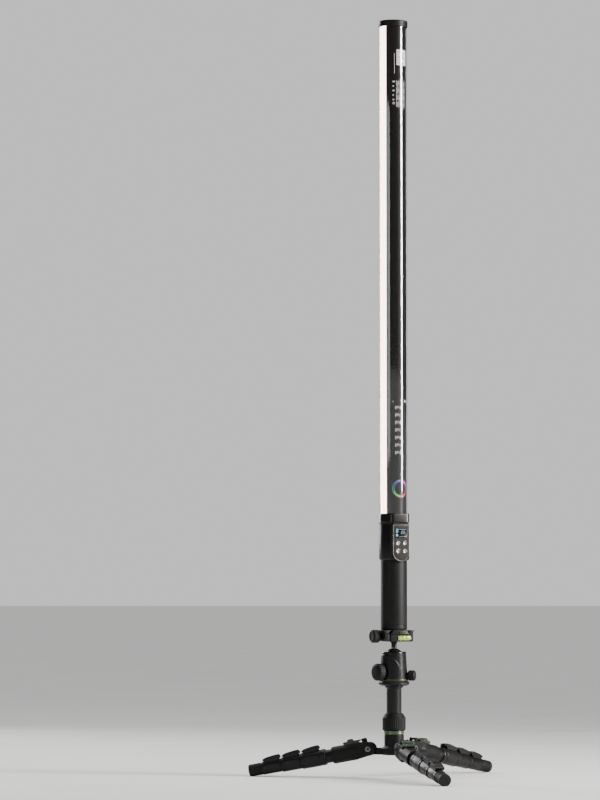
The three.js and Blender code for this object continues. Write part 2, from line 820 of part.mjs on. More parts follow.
function makeLight(parent) {
  add(parent, "quick_release_plate", plateSolid(), materials.blackMetal);
  add(parent, "handle", handleSolid(), materials.gripPlastic);
  add(parent, "battery_pack", batterySolid(), materials.cellWrap);
  add(parent, "control_housing", controlHousingSolid(), materials.blackPlastic);
  add(parent, "panel_bezel", bezelSolid(), materials.panel);
  add(parent, "display", displaySolid(), materials.screen);
  Object.entries(buttonPlaces).forEach(([name, place]) => add(parent, name, buttonSolid(place), materials.buttonGrey));
  add(parent, "circuit_board", circuitBoardSolid(), materials.circuit);
  add(parent, "collar_ring", collarRingSolid(), materials.blackPlastic);
  add(parent, "clear_tube", clearTubeSolid(), materials.clear);
  add(parent, "diffuser", diffuserSolid(), materials.opal);
  add(parent, "opaque_back", backSolid(), materials.blackMetal);
  add(parent, "led_board", ledBoardSolid(), materials.circuit);
  add(parent, "end_cap", endCapSolid(), materials.blackPlastic);
}

// The footprint's rectangle reaches further forward than back, because one leg points straight forward.
const footCentre = hingeRadius + legLength * Math.cos(rad(legFall));
const frontReach = footCentre + footRadius * Math.sin(rad(legFall));
const backReach = footCentre / 2 + footRadius * Math.cos(rad(30));
const root = new THREE.Group();
const standing = child(root, { at: [0, (frontReach - backReach) / 2, 0] });
makeTripod(standing);
const turnedHead = child(standing, { turnZ: headTurn });
makeHead(turnedHead);
makeLight(turnedHead);

export default root;
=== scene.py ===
"""Looks for a battery LED tube light that stands on a ball head and a compact tripod.

Sizes are in millimetres in local frames: the column's, the head's and one for each leg. Meshes are in metres.
"""

import json
from math import asin, atan2, cos, hypot, pi, radians, sin, tan

import bmesh
import bpy
from mathutils import Matrix, Vector


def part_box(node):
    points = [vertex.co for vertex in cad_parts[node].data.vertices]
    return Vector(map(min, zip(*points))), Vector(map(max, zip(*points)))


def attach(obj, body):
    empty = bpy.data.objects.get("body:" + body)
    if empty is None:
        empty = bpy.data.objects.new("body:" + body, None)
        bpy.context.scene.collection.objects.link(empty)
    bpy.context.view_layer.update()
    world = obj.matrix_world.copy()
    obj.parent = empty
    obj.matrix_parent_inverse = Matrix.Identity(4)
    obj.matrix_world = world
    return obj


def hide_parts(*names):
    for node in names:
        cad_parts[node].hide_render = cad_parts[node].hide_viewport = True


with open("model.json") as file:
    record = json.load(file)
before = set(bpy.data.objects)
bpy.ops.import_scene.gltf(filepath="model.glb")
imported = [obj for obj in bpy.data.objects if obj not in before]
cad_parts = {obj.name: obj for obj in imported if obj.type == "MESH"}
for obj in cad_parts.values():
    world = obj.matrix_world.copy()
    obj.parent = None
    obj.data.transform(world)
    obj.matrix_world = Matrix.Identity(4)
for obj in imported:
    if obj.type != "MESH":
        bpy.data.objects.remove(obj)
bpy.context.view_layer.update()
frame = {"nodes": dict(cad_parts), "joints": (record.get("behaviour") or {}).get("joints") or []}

MM = 0.001
GAP = 0.3  # between pieces that touch

JOINTS = {joint["name"]: joint for joint in frame["joints"]}
LEGS = ("front_leg", "right_leg", "left_leg")


def heights(node):
    """The lowest and the highest height of a CAD node."""
    return [(corner / MM).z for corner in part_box(node)]


def basis(x, z, origin):
    """A frame with these X and Z axes at origin, which is in metres."""
    x, z = Vector(x).normalized(), Vector(z).normalized()
    y = z.cross(x)
    turn = Matrix((x, y, z)).transposed().to_4x4()
    return Matrix.Translation(Vector(origin)) @ turn


BALL_AT = Vector(JOINTS["ball_tilt"]["pos_m"])
AXIS_FOOT = Vector((BALL_AT.x, BALL_AT.y, 0))
COLUMN = Matrix.Translation(AXIS_FOOT)  # heights above the floor, one leg at -Y
HEAD = basis(-Vector(JOINTS["ball_tilt"]["axis"]), (0, 0, 1), AXIS_FOOT)  # the panel faces -Y, the notch +Y


def leg_frame(leg):
    """X runs down the leg from its hinge, and Z is up from it."""
    along = Vector(JOINTS[f"{leg}_section_2_slide"]["axis"])
    across = Vector(JOINTS[f"{leg}_fold"]["axis"])
    return basis(along, along.cross(across), JOINTS[f"{leg}_fold"]["pos_m"])


# ---- heights, from the frame

BALL_Z = BALL_AT.z / MM
HUB_LOW, HUB_HIGH = heights("hub")
LOCK_LOW, LOCK_HIGH = heights("column_lock_ring")
COLUMN_LOW, COLUMN_HIGH = heights("center_column")
BASE_LOW = heights("head_base")[0]
HOUSING_LOW, HOUSING_HIGH = heights("head_housing")
STEM_LOW, STEM_HIGH = heights("ball_stem")
CLAMP_LOW = heights("clamp_body")[0]
PLATE_LOW = heights("quick_release_plate")[0]
HANDLE_LOW, HANDLE_HIGH = heights("handle")
POD_LOW, POD_HIGH = heights("control_housing")
BEZEL_LOW, BEZEL_HIGH = heights("panel_bezel")
RING_LOW, RING_HIGH = heights("collar_ring")
TUBE_LOW, TUBE_HIGH = heights("clear_tube")
INSIDE_LOW, INSIDE_HIGH = heights("diffuser")
CAP_LOW, CAP_HIGH = heights("end_cap")


# ---- meshes


def link(name, data):
    """A new object in the scene, made from a mesh, a light or a camera."""
    obj = bpy.data.objects.new(name, data)
    bpy.context.scene.collection.objects.link(obj)
    return obj


def mesh_of(points, faces, sharp=35):
    """A shaded mesh in metres from points in millimetres."""
    mesh = bpy.data.meshes.new("work")
    mesh.from_pydata([Vector(p) * MM for p in points], [], faces)
    edit = bmesh.new()
    edit.from_mesh(mesh)
    bmesh.ops.recalc_face_normals(edit, faces=edit.faces)
    edit.to_mesh(mesh)
    edit.free()
    shade(mesh, sharp)
    return mesh


def shade(mesh, sharp):
    mesh.shade_smooth()
    mesh.set_sharp_from_angle(angle=radians(sharp))


def soft(points, radius, steps=4, closed=False):
    """An outline with its corners rounded. A corner can give its own radius as a third number."""
    result = []
    count = len(points)
    for i, point in enumerate(points):
        if not closed and i in (0, count - 1):
            result.append(tuple(point[:2]))
            continue
        here = Vector(point[:2])
        before, after = Vector(points[i - 1][:2]) - here, Vector(points[(i + 1) % count][:2]) - here
        wanted = point[2] if len(point) > 2 else radius
        if wanted <= 0 or before.length < 1e-6 or after.length < 1e-6:
            result.append(tuple(here))
            continue
        bend = before.angle(after)
        if bend > radians(172):
            result.append(tuple(here))
            continue
        reach = min(wanted / tan(bend / 2), 0.46 * before.length, 0.46 * after.length)
        start, end = here + before.normalized() * reach, here + after.normalized() * reach
        for step in range(steps + 1):
            t = step / steps
            result.append(tuple(start * (1 - t) ** 2 + here * 2 * t * (1 - t) + end * t**2))
    return result


def turned(profile, sides=64, shape=None, sharp=35):
    """A profile of (radius, height) turned about Z. shape changes a radius by its angle and height."""
    closed = profile[0][0] > 0 or profile[-1][0] > 0
    points, rings, faces = [], [], []
    for r, z in profile:
        if r < 1e-6:
            rings.append([len(points)])
            points.append((0, 0, z))
            continue
        first = len(points)
        for n in range(sides):
            angle = 2 * pi * n / sides
            radius = shape(angle, r, z) if shape else r
            points.append((radius * cos(angle), radius * sin(angle), z))
        rings.append(list(range(first, first + sides)))
    pairs = list(zip(rings, rings[1:])) + ([(rings[-1], rings[0])] if closed else [])
    for a, b in pairs:
        if len(a) == 1 and len(b) == 1:
            continue
        for n in range(sides):
            m = (n + 1) % sides
            if len(a) == 1:
                faces.append((a[0], b[n], b[m]))
            elif len(b) == 1:
                faces.append((a[n], b[0], a[m]))
            else:
                faces.append((a[n], b[n], b[m], a[m]))
    return mesh_of(points, faces, sharp)


def lofted(sections, sharp=35):
    """Closed outlines of one count of points, each at its height, joined by sides and capped at both ends."""
    count = len(sections[0][1])
    points = [(x, y, z) for z, outline in sections for x, y in outline]
    faces = [tuple(range(count)), tuple(range((len(sections) - 1) * count, len(sections) * count))]
    for level in range(len(sections) - 1):
        for n in range(count):
            m = (n + 1) % count
            a, b = level * count, (level + 1) * count
            faces.append((a + n, a + m, b + m, b + n))
    return mesh_of(points, faces, sharp)


def flat_shape(outline, low, high, sharp=35):
    """An outline in X and Y, extruded upwards."""
    return lofted([(low, outline), (high, outline)], sharp)


def quarter(axis, sign=1):
    """A quarter turn about X or Y."""
    return Matrix.Rotation(sign * pi / 2, 4, axis)


def swing(mesh, axis="X"):
    """Turns a mesh made along Z to lie along X, or an outline made in X and Y to stand in X and Z."""
    mesh.transform(quarter("Y" if axis == "X" else "X"))
    return mesh


def along_x(profile, sides=48, shape=None, sharp=35):
    """A profile of (radius, distance) turned about X."""
    return swing(turned(profile, sides, shape, sharp))


def upright(outline, half_width, sharp=35):
    """An outline in X and Z, extruded to both sides of the XZ plane."""
    return swing(flat_shape(outline, -half_width, half_width, sharp), "Y")


def box(x0, x1, y0, y1, radius=0.5, steps=3):
    """A rectangle with round corners."""
    return soft([(x0, y0), (x1, y0), (x1, y1), (x0, y1)], radius, steps, True)


def arc(radius, start, end, steps, centre=(0, 0)):
    """Points on an arc, from one angle in degrees to the other."""
    angles = [radians(start + (end - start) * n / steps) for n in range(steps + 1)]
    return [(centre[0] + radius * cos(a), centre[1] + radius * sin(a)) for a in angles]


def combine(operation, mesh, others, sharp):
    """One mesh cut by or joined with the others, one after another."""
    for other in others:
        pair = [link("work", m) for m in (mesh, other)]
        modifier = pair[0].modifiers.new("boolean", "BOOLEAN")
        modifier.object = pair[1]
        modifier.operation = operation
        modifier.solver = "EXACT"
        mesh = applied(pair, sharp)
    return mesh


def cut(mesh, *tools, sharp=35):
    return combine("DIFFERENCE", mesh, tools, sharp)


def joined(mesh, *others):
    return combine("UNION", mesh, others, 35)


def applied(objects, sharp=35):
    """The first object's mesh with its modifiers applied. The objects are removed."""
    bpy.context.view_layer.update()
    result = bpy.data.meshes.new_from_object(objects[0].evaluated_get(bpy.context.evaluated_depsgraph_get()))
    for obj in objects:
        bpy.data.objects.remove(obj)
    shade(result, sharp)
    return result


def cast(mesh, voxel, smooth=6):
    """A casting's flowing surface: the mesh rebuilt from small voxels and smoothed."""
    obj = link("work", mesh)
    remesh = obj.modifiers.new("voxels", "REMESH")
    remesh.mode = "VOXEL"
    remesh.voxel_size = voxel * MM
    relax = obj.modifiers.new("relax", "SMOOTH")
    relax.factor = 0.5
    relax.iterations = smooth
    return applied([obj], 180)


def bevelled(mesh, width, segments=3, angle=40):
    """The mesh with its hard edges rounded."""
    obj = link("work", mesh)
    bevel = obj.modifiers.new("bevel", "BEVEL")
    bevel.width = width * MM
    bevel.segments = segments
    bevel.limit_method = "ANGLE"
    bevel.angle_limit = radians(angle)
    bevel.use_clamp_overlap = True
    return applied([obj], 50)


def shift(x=0, y=0, z=0):
    return Matrix.Translation(Vector((x, y, z)) * MM)


def moved(mesh, x=0, y=0, z=0):
    mesh.transform(shift(x, y, z))
    return mesh


def merged(meshes):
    """Several meshes as one."""
    edit = bmesh.new()
    for mesh in meshes:
        edit.from_mesh(mesh)
    result = bpy.data.meshes.new("work")
    edit.to_mesh(result)
    edit.free()
    shade(result, 35)
    return result


# ---- materials


def node(tree, kind, **values):
    """A shader node with its properties set by name."""
    made = tree.nodes.new("ShaderNode" + kind)
    for key, value in values.items():
        setattr(made, key, value)
    return made


def wire(output, target):
    output.id_data.links.new(output, target)


def new_material(name):
    material = bpy.data.materials.new(name)
    material.use_nodes = True
    return material, material.node_tree, material.node_tree.nodes["Principled BSDF"]


def noise(tree, scale, detail=3, stretch=(1, 1, 1)):
    """Noise over the object's own coordinates, in features per metre."""
    place = node(tree, "TexCoord")
    mapping = node(tree, "Mapping")
    mapping.inputs["Scale"].default_value = stretch
    texture = node(tree, "TexNoise")
    texture.inputs["Scale"].default_value = scale
    texture.inputs["Detail"].default_value = detail
    wire(place.outputs["Object"], mapping.inputs["Vector"])
    wire(mapping.outputs["Vector"], texture.inputs["Vector"])
    return texture.outputs["Fac"]


def ranged(tree, value, low, high, start=0.3, end=0.7):
    """A value from start to end, mapped to low to high."""
    chosen = node(tree, "MapRange")
    for key, number in {"From Min": start, "From Max": end, "To Min": low, "To Max": high}.items():
        chosen.inputs[key].default_value = number
    wire(value, chosen.inputs["Value"])
    return chosen.outputs["Result"]


def mixed(tree, factor, first, second):
    """Two colours mixed by a factor."""
    mix = node(tree, "Mix", data_type="RGBA")
    wire(factor, mix.inputs["Factor"])
    for socket, colour in (("A", first), ("B", second)):
        target = [i for i in mix.inputs if i.name == socket and i.type == "RGBA"][0]
        if isinstance(colour, tuple):
            target.default_value = (*colour, 1)
        else:
            wire(colour, target)
    return [o for o in mix.outputs if o.type == "RGBA"][0]


def bumped(tree, shader, value, strength, distance):
    bump = node(tree, "Bump")
    bump.inputs["Strength"].default_value = strength
    bump.inputs["Distance"].default_value = distance * MM
    wire(value, bump.inputs["Height"])
    wire(bump.outputs["Normal"], shader.inputs["Normal"])


def surface(name, colour, rough, metal=0.0, vary=0.2, grain=1500, bump=0.15, depth=0.05,
            stretch=(1, 1, 1), wander=0.06, specular=0.5, coat=0.0):
    """A finish with fine grain, slow changes of gloss and colour, and a little relief."""
    material, tree, shader = new_material(name)
    fine = noise(tree, grain, 4, stretch)
    slow = noise(tree, 28, 3)
    dark, light = (tuple(c * k for c in colour) for k in (1 - vary, 1 + vary))
    wire(mixed(tree, ranged(tree, slow, 0, 1), dark, light), shader.inputs["Base Color"])
    spread = node(tree, "Math", operation="ADD")
    wire(ranged(tree, slow, rough - wander, rough + wander), spread.inputs[0])
    wire(ranged(tree, fine, -0.03, 0.03), spread.inputs[1])
    wire(spread.outputs[0], shader.inputs["Roughness"])
    bumped(tree, shader, fine, bump, depth)
    shader.inputs["Metallic"].default_value = metal
    shader.inputs["Specular IOR Level"].default_value = specular
    shader.inputs["Coat Weight"].default_value = coat
    shader.inputs["Coat Roughness"].default_value = 0.12
    return material


def clear_material():
    """Polished clear polycarbonate with faint handling marks. Its gloss is strongest at the edges."""
    material, tree, shader = new_material("clear_polycarbonate")
    wire(ranged(tree, noise(tree, 20, 2), 0.05, 0.07), shader.inputs["Roughness"])
    tint = mixed(tree, ranged(tree, noise(tree, 12), 0, 1), (0.95, 0.95, 0.96), (1, 1, 1))
    wire(tint, shader.inputs["Base Color"])
    shader.inputs["Metallic"].default_value = 1
    facing = node(tree, "LayerWeight")
    rise = node(tree, "Math", operation="POWER")
    rise.inputs[1].default_value = 5
    wire(facing.outputs["Facing"], rise.inputs[0])
    geometry = node(tree, "NewGeometry")
    outward = node(tree, "Math", operation="MULTIPLY")
    wire(ranged(tree, rise.outputs[0], FACE_GLOSS, 1, 0, 1), outward.inputs[0])
    wire(ranged(tree, geometry.outputs["Backfacing"], 1, 0, 0, 1), outward.inputs[1])
    through = node(tree, "BsdfTransparent")
    blend = node(tree, "MixShader")
    wire(outward.outputs[0], blend.inputs[0])
    wire(through.outputs[0], blend.inputs[1])
    wire(shader.outputs[0], blend.inputs[2])
    wire(blend.outputs[0], tree.nodes["Material Output"].inputs["Surface"])
    return material


def glow_material(name, colour, strength):
    """A glowing face with very faint clouding."""
    material, tree, shader = new_material(name)
    cloud = ranged(tree, noise(tree, 40, 2, (1, 1, 0.2)), 0, 1)
    dim = tuple(c * 0.97 for c in colour)
    tone = mixed(tree, cloud, dim, colour)
    wire(tone, shader.inputs["Base Color"])
    wire(tone, shader.inputs["Emission Color"])
    shader.inputs["Emission Strength"].default_value = strength
    shader.inputs["Roughness"].default_value = 0.5
    return material


def hue_material():
    """A printed colour wheel: the hue follows the angle around the wheel's own centre."""
    material, tree, shader = new_material("colour_wheel_ink")
    place = node(tree, "TexCoord")
    parts = node(tree, "SeparateXYZ")
    turn = node(tree, "Math", operation="ARCTAN2")
    colour = node(tree, "CombineColor", mode="HSV")
    wire(place.outputs["Object"], parts.inputs[0])
    wire(parts.outputs["X"], turn.inputs[0])
    wire(parts.outputs["Z"], turn.inputs[1])
    wire(ranged(tree, turn.outputs[0], 0.24, 1.24, -pi, pi), colour.inputs[0])
    colour.inputs[1].default_value = 0.92
    wire(ranged(tree, noise(tree, 900), 0.34, 0.42), colour.inputs[2])
    wire(colour.outputs[0], shader.inputs["Base Color"])
    shader.inputs["Roughness"].default_value = 0.5
    return material


FACE_GLOSS = 0.1  # of clear plastic seen square on
BLACK_METAL = surface("black_anodised", (0.009, 0.009, 0.009), 0.36, metal=0.1, bump=0.12, specular=0.14)
TURNED_METAL = surface("turned_black", (0.008, 0.008, 0.008), 0.34, stretch=(1, 1, 14), bump=0.2,
                       specular=0.18)
TUBE_METAL = surface("leg_tube_black", (0.008, 0.0075, 0.0075), 0.36, stretch=(0.06, 1, 1), specular=0.18)
CAST_METAL = surface("cast_black", (0.007, 0.007, 0.007), 0.45, grain=2200, bump=0.35, depth=0.06,
                     specular=0.14)
POLISHED = surface("polished_edge", (0.09, 0.085, 0.08), 0.18, metal=1.0, bump=0.03)
OLIVE_METAL = surface("olive_ring", (0.028, 0.027, 0.012), 0.36, metal=0.5, stretch=(1, 1, 10), bump=0.1)
# painted highlight: the hub ring's own greenish gunmetal is set as light as the highlight on it, so its
# colour carries a painted highlight
ACCENT_RING_PAINTED_HIGHLIGHT = surface("accent_ring_painted_highlight", (0.095, 0.13, 0.07), 0.26, metal=0.7, stretch=(1, 1, 14), bump=0.1)
TAB_METAL = surface("angle_tab_green", (0.03, 0.042, 0.024), 0.28, metal=0.5, bump=0.15)
STEEL = surface("bolt_steel", (0.16, 0.15, 0.145), 0.3, metal=1.0, bump=0.08)
RUBBER = surface("black_rubber", (0.008, 0.008, 0.008), 0.58, grain=1800, bump=0.4, depth=0.06, specular=0.16)
PLASTIC = surface("black_plastic", (0.007, 0.007, 0.0075), 0.38, grain=2600, bump=0.25, depth=0.03,
                  specular=0.18)
GRIP = surface("handle_plastic", (0.007, 0.007, 0.0068), 0.5, grain=3200, bump=0.4, depth=0.05, specular=0.16)
GLOSS_PLASTIC = surface("gloss_plastic", (0.007, 0.0068, 0.0065), 0.24, grain=900, bump=0.03,
                        wander=0.03, specular=0.4)
BACK_SHEET = surface("back_sheet", (0.006, 0.005, 0.0045), 0.36, vary=0.1, bump=0.03, depth=0.01,
                     wander=0.01, specular=0.1)
PANEL_GREY = surface("panel_taupe", (0.014, 0.012, 0.0102), 0.5, grain=2600, bump=0.25, depth=0.03,
                     specular=0.14)
PANEL_RIM = surface("panel_rim", (0.12, 0.112, 0.1), 0.3, metal=0.6, bump=0.08)
BUTTON_GREY = surface("button_silver", (0.3, 0.29, 0.27), 0.3, metal=0.85, grain=2200, bump=0.15)
SCREEN = surface("screen_glass", (0.003, 0.005, 0.007), 0.16, bump=0.01, wander=0.02, specular=0.12)
WHITE_INK = surface("white_ink", (0.62, 0.6, 0.58), 0.5, vary=0.06, bump=0.1)
GREY_INK = surface("grey_ink", (0.5, 0.49, 0.47), 0.5, vary=0.1, bump=0.1)
WARM_INK = surface("warm_ink", (0.6, 0.52, 0.2), 0.5, vary=0.1, bump=0.1)
COOL_INK = surface("cool_ink", (0.3, 0.45, 0.55), 0.5, vary=0.1, bump=0.1)
DARK_INK = surface("dark_ink", (0.05, 0.05, 0.05), 0.5, vary=0.1, bump=0.1)
BOARD = surface("board_green", (0.02, 0.12, 0.05), 0.4, bump=0.1)
CELL_WRAP = surface("cell_wrap", (0.03, 0.09, 0.28), 0.3, bump=0.05)
FLUID = surface("vial_fluid", (0.3, 0.42, 0.02), 0.12, bump=0.02, coat=0.5)
VIAL_GLASS = surface("vial_ends", (0.3, 0.36, 0.14), 0.2, bump=0.02, coat=0.5)
BUBBLE = surface("vial_bubble", (0.6, 0.7, 0.25), 0.1, bump=0.02, coat=0.5)
CLEAR = clear_material()
DIFFUSER = glow_material("diffuser_lit", (1.0, 0.7, 0.62), 9)
SCREEN_TEAL = glow_material("screen_teal", (0.07, 0.27, 0.32), 0.3)
SCREEN_WHITE = glow_material("screen_white", (0.1, 0.14, 0.16), 0.12)
WHEEL_INK = hue_material()


def paint(mesh, material):
    mesh.materials.clear()
    mesh.materials.append(material)


def piece(name, mesh, material, place, body, slot, *replaced):
    """A finished piece: its mesh, material, place, body, record slot and the CAD nodes that it stands for.
    The slot is not used.
    """
    mesh.name = name
    paint(mesh, material)
    obj = link(name, mesh)
    obj.matrix_world = place
    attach(obj, body)
    if replaced:
        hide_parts(*replaced)
    return obj


# ---- light

TUBE_R = 26.1
TUBE_WALL = 1.7
INNER_R = TUBE_R - TUBE_WALL - 0.35
BACK_HALF = 61  # degrees of the opaque back each side of the front
CAP_R = 27.4
POD_R, POD_FRONT, POD_CORNER, POD_HALF = 27.5, 28.0, 8.0, 21.0
HANDLE_R = 24.6


def end_cap():
    """The cap over the tube's top, with a groove round its side and a shallow dish in its top."""
    low, high, r, bore = CAP_LOW, CAP_HIGH, CAP_R, TUBE_R + GAP
    profile = [
        (0, low + 6), (bore, low + 6, 0.2), (bore, low, 0.3), (r, low, 0.7), (r, low + 3.2, 0.1),
        (r - 0.35, low + 3.4, 0.1), (r - 0.35, low + 3.9, 0.1), (r, low + 4.1, 0.1), (r, high, 1.7),
        (22, high, 0.3), (21.5, high - 0.7, 0.3), (9, high - 0.7, 0.3), (8.6, high - 0.2, 0.2),
        (0, high - 0.2),
    ]
    mesh = turned(soft(profile, 0.3), 96)
    piece("light_end_cap", mesh, PLASTIC, HEAD, "light", "black_plastic", "end_cap")


def clear_tube():
    inner = TUBE_R - TUBE_WALL
    corners = [(inner, TUBE_LOW), (TUBE_R, TUBE_LOW), (TUBE_R, TUBE_HIGH), (inner, TUBE_HIGH)]
    mesh = turned(soft(corners, 0.4, 3, True), 128)
    obj = piece("light_clear_tube", mesh, CLEAR, HEAD, "light", "clear_tube", "clear_tube")
    obj.visible_shadow = False  # lamps light the back and its print through the clear wall


def diffuser():
    thick = 1.3
    start, end = -90 + BACK_HALF + 0.15, 270 - BACK_HALF - 0.15
    outline = arc(INNER_R, start, end, 96) + arc(INNER_R - thick, end, start, 96)
    mesh = flat_shape(outline, INSIDE_LOW, INSIDE_HIGH, 50)
    obj = piece("light_diffuser", mesh, DIFFUSER, HEAD, "light", "diffuser", "diffuser")
    obj.visible_diffuse = False  # it glows, and the studio lights do the lighting
    obj.visible_glossy = False


def opaque_back():
    """A hollow D: an outer skin that carries the print, and a flat face for the LED board."""
    outline = arc(INNER_R, -90 - BACK_HALF, -90 + BACK_HALF, 56)
    inside = arc(INNER_R - 1.8, -90 + BACK_HALF - 5, -90 - BACK_HALF + 5, 56)
    shell = flat_shape(outline, INSIDE_LOW, INSIDE_HIGH)
    hollow = flat_shape(inside, INSIDE_LOW - 1, INSIDE_HIGH + 1)
    mesh = cut(shell, hollow, sharp=40)
    piece("light_back", mesh, BACK_SHEET, HEAD, "light", "opaque_back", "opaque_back")


def patch(across, up, radius, steps=6):
    """A thin printed patch on the back. across and up are its low and high ends in millimetres."""
    (a0, a1), (z0, z1) = across, up
    points, faces = [], []
    for n in range(steps + 1):
        angle = radians(-90) + (a0 + (a1 - a0) * n / steps) / radius
        for r in (radius, radius + 0.03):
            points += [(r * cos(angle), r * sin(angle), z) for z in (z0, z1)]
    for n in range(steps):
        a, b = 4 * n, 4 * (n + 1)
        faces += [(a + 2, b + 2, b + 3, a + 3), (a + 1, b + 1, b, a)]
        faces += [(a, b, b + 2, a + 2), (a + 3, b + 3, b + 1, a + 1)]
    faces += [(0, 2, 3, 1), (4 * steps, 4 * steps + 1, 4 * steps + 3, 4 * steps + 2)]
    return mesh_of(points, faces)


def disc(across, up, radius, size, inner=0.0, steps=20):
    """A thin printed dot or ring on the back, centred across and up."""
    points, faces = [], []
    for n in range(steps):
        turn = 2 * pi * n / steps
        for ring in (inner, size):
            for lift in (0, 0.03):
                angle = radians(-90) + (across + ring * cos(turn)) / radius
                r = radius + lift
                points.append((r * cos(angle), r * sin(angle), up + ring * sin(turn)))
    for n in range(steps):
        a, b = 4 * n, 4 * ((n + 1) % steps)
        faces += [(a + 1, b + 1, b + 3, a + 3), (a, a + 2, b + 2, b), (a + 2, a + 3, b + 3, b + 2)]
        if inner > 0:
            faces.append((a, b, b + 1, a + 1))
    return mesh_of(points, faces)


def printed(name, mesh, ink, place=HEAD):
    piece(name, mesh, ink, place, "light", "opaque_back")


def back_print():
    """Generic marks: a pale label, a block of fine lines, a column of symbols and a colour wheel."""
    skin = INNER_R + 0.02
    top = CAP_LOW
    label = patch((-5, 18), (top - 74, top - 45), skin, 14)
    printed("back_label", label, WHITE_INK)
    marks = []
    for row in range(5):
        for column in range(3):
            x, z = -4 + 2.2 * column, top - 47 - 5.2 * row
            marks.append(patch((x, x + 1.3 - 0.3 * (row % 2)), (z - 3.4, z), skin + 0.04, 2))
    marks += [patch((5, 5 + length), (top - z - 1.6, top - z), skin + 0.04, 6)
              for length, z in ((10, 50), (7, 55), (11, 60), (4, 66), (6, 70))]
    printed("back_label_marks", merged(marks), DARK_INK)
    lines = []
    for n in range(9):
        x = -5.6 + 2.3 * n
        for part in range(4):
            z = top - 103 - 13 * part - 2 * (n % 2)
            lines.append(patch((x, x + 0.85), (z - 10.4 - 1.8 * sin(2.3 * n + part), z), skin, 2))
    for n, length in enumerate((4.4, 2.6, 3.6, 2.2, 3)):
        z = top - 104 - 8.5 * n
        lines.append(patch((-12.6, -12.6 + length), (z - 2.6, z), skin, 2))
    lines += [disc(-10.6, top - 146, skin, 2.2, 1.2), patch((-9.5, -8.7), (top - 90, top - 52), skin, 2)]
    printed("back_fine_lines", merged(lines), GREY_INK)
    symbols, low = [disc(-13, RING_HIGH + 208, skin, 1.2)], RING_HIGH + 110
    for n in range(7):
        z = low + 90 - 14 * n
        for column in range(3):
            x = -8.4 + 2.6 * column
            symbols.append(patch((x, x + 1.1), (z - 6.4 + 1.5 * column, z), skin, 2))
        if n in (0, 6):
            name, ink = ("back_warm_mark", WARM_INK) if n == 0 else ("back_cool_mark", COOL_INK)
            printed(name, disc(2.6, z - 3.4, skin, 2.8), ink)
        else:
            inner = 2.1 if n % 2 else 0
            symbols.append(disc(2.6, z - 3.4, skin, 3.0, inner))
    printed("back_symbols", merged(symbols), GREY_INK)
    lamps = [disc(13.5, RING_HIGH + 209, skin, 2.4), disc(2.6, low + 58, skin + 0.04, 2.2)]
    printed("back_pale_dots", merged(lamps), WHITE_INK)
    wheel_at = HEAD @ shift(z=RING_HIGH + 46.5)
    wheel = disc(2.2, 0, skin, 16.5, 12.6, 64)
    printed("back_colour_wheel", wheel, WHEEL_INK, wheel_at)


def pod_outline(inset=0.0, steps=10):
    """The control housing's outline, drawn in by inset: a round back and a wide front with round corners."""
    corner_x, corner_y = POD_HALF - POD_CORNER, -POD_FRONT + POD_CORNER
    corner = POD_CORNER - inset
    points = arc(POD_R - inset, -20, 200, 6 * steps)
    points += arc(corner, 190, 270, steps, (-corner_x, corner_y))
    points += arc(corner, 270, 350, steps, (corner_x, corner_y))
    return points


def rod(radius, low, high, sides=48):
    return turned([(0, low), (radius, low), (radius, high), (0, high)], sides)


def collar_ring():
    """A glossy ring that holds the tube, with a soft upper edge."""
    levels = [(0, 0.5), (0.5, 0.0), (13.8, 0.0), (15.4, 0.5), (16.2, 1.0)]
    scale = (RING_HIGH - RING_LOW) / 16.2
    mesh = lofted([(RING_LOW + z * scale, pod_outline(inset)) for z, inset in levels], 30)
    bore = rod(TUBE_R + GAP * 0.5, TUBE_LOW - GAP, RING_HIGH + 1, 96)
    mesh = cut(mesh, bore, rod(TUBE_R - 6, RING_LOW - 1, RING_HIGH, 64))
    piece("light_collar_ring", mesh, GLOSS_PLASTIC, HEAD, "light", "black_plastic", "collar_ring")


def bezel_outline(inset=0.0):
    """Square shoulders over a half-round foot."""
    half = 17.5 - inset
    foot = BEZEL_LOW + 17.5
    top = BEZEL_HIGH - inset
    shoulders = soft([(half, foot), (half, top), (-half, top), (-half, foot)], 2.6)
    return shoulders + arc(half, 180, 360, 28, (0, foot))[1:-1]


CUT_DEPTH = 8.5  # each side of the housing's front, which reaches into its bore
SCREEN_MID = BEZEL_HIGH - 15.2
SCREEN_HALF = (13.0, 9.0)
BUTTONS = {
    "button_upper_left": (-7.15, BEZEL_HIGH - 34),
    "button_upper_right": (7.15, BEZEL_HIGH - 34),
    "button_lower_left": (-7.15, BEZEL_HIGH - 48.6),
    "button_lower_right": (7.15, BEZEL_HIGH - 48.6),
}


def front_cuts(margin):
    """Holes through the housing's front and the panel, for the screen and the buttons."""
    width, height = SCREEN_HALF[0] + margin, SCREEN_HALF[1] + margin
    outline = box(-width, width, SCREEN_MID - height, SCREEN_MID + height, 1.2, 4)
    cuts = [moved(upright(outline, CUT_DEPTH), y=-POD_FRONT)]
    for x, z in BUTTONS.values():
        hole = moved(upright(arc(4.4 + margin, 0, 360, 40)[:-1], CUT_DEPTH), y=-POD_FRONT)
        cuts.append(moved(hole, x=x, z=z))
    return merged(cuts)


def control_housing():
    """The housing, with a drawn-in groove at its top, a soft chamfer to the handle and a bore."""
    top = POD_HIGH
    levels = [(POD_LOW, 2.6), (POD_LOW + 0.8, 1.4), (POD_LOW + 2.2, 0.5), (POD_LOW + 4, 0.0)]
    levels += [(top - 4.6, 0.0), (top - 4.2, 0.25), (top - 4.0, 0.8), (top - 0.5, 0.8), (top, 0.6)]
    mesh = lofted([(z, pod_outline(inset)) for z, inset in levels], 30)
    mesh = cut(mesh, rod(24.4, POD_LOW - 1, POD_HIGH + 1, 96), front_cuts(0.6))
    piece("light_control_housing", mesh, PLASTIC, HEAD, "light", "black_plastic", "control_housing")


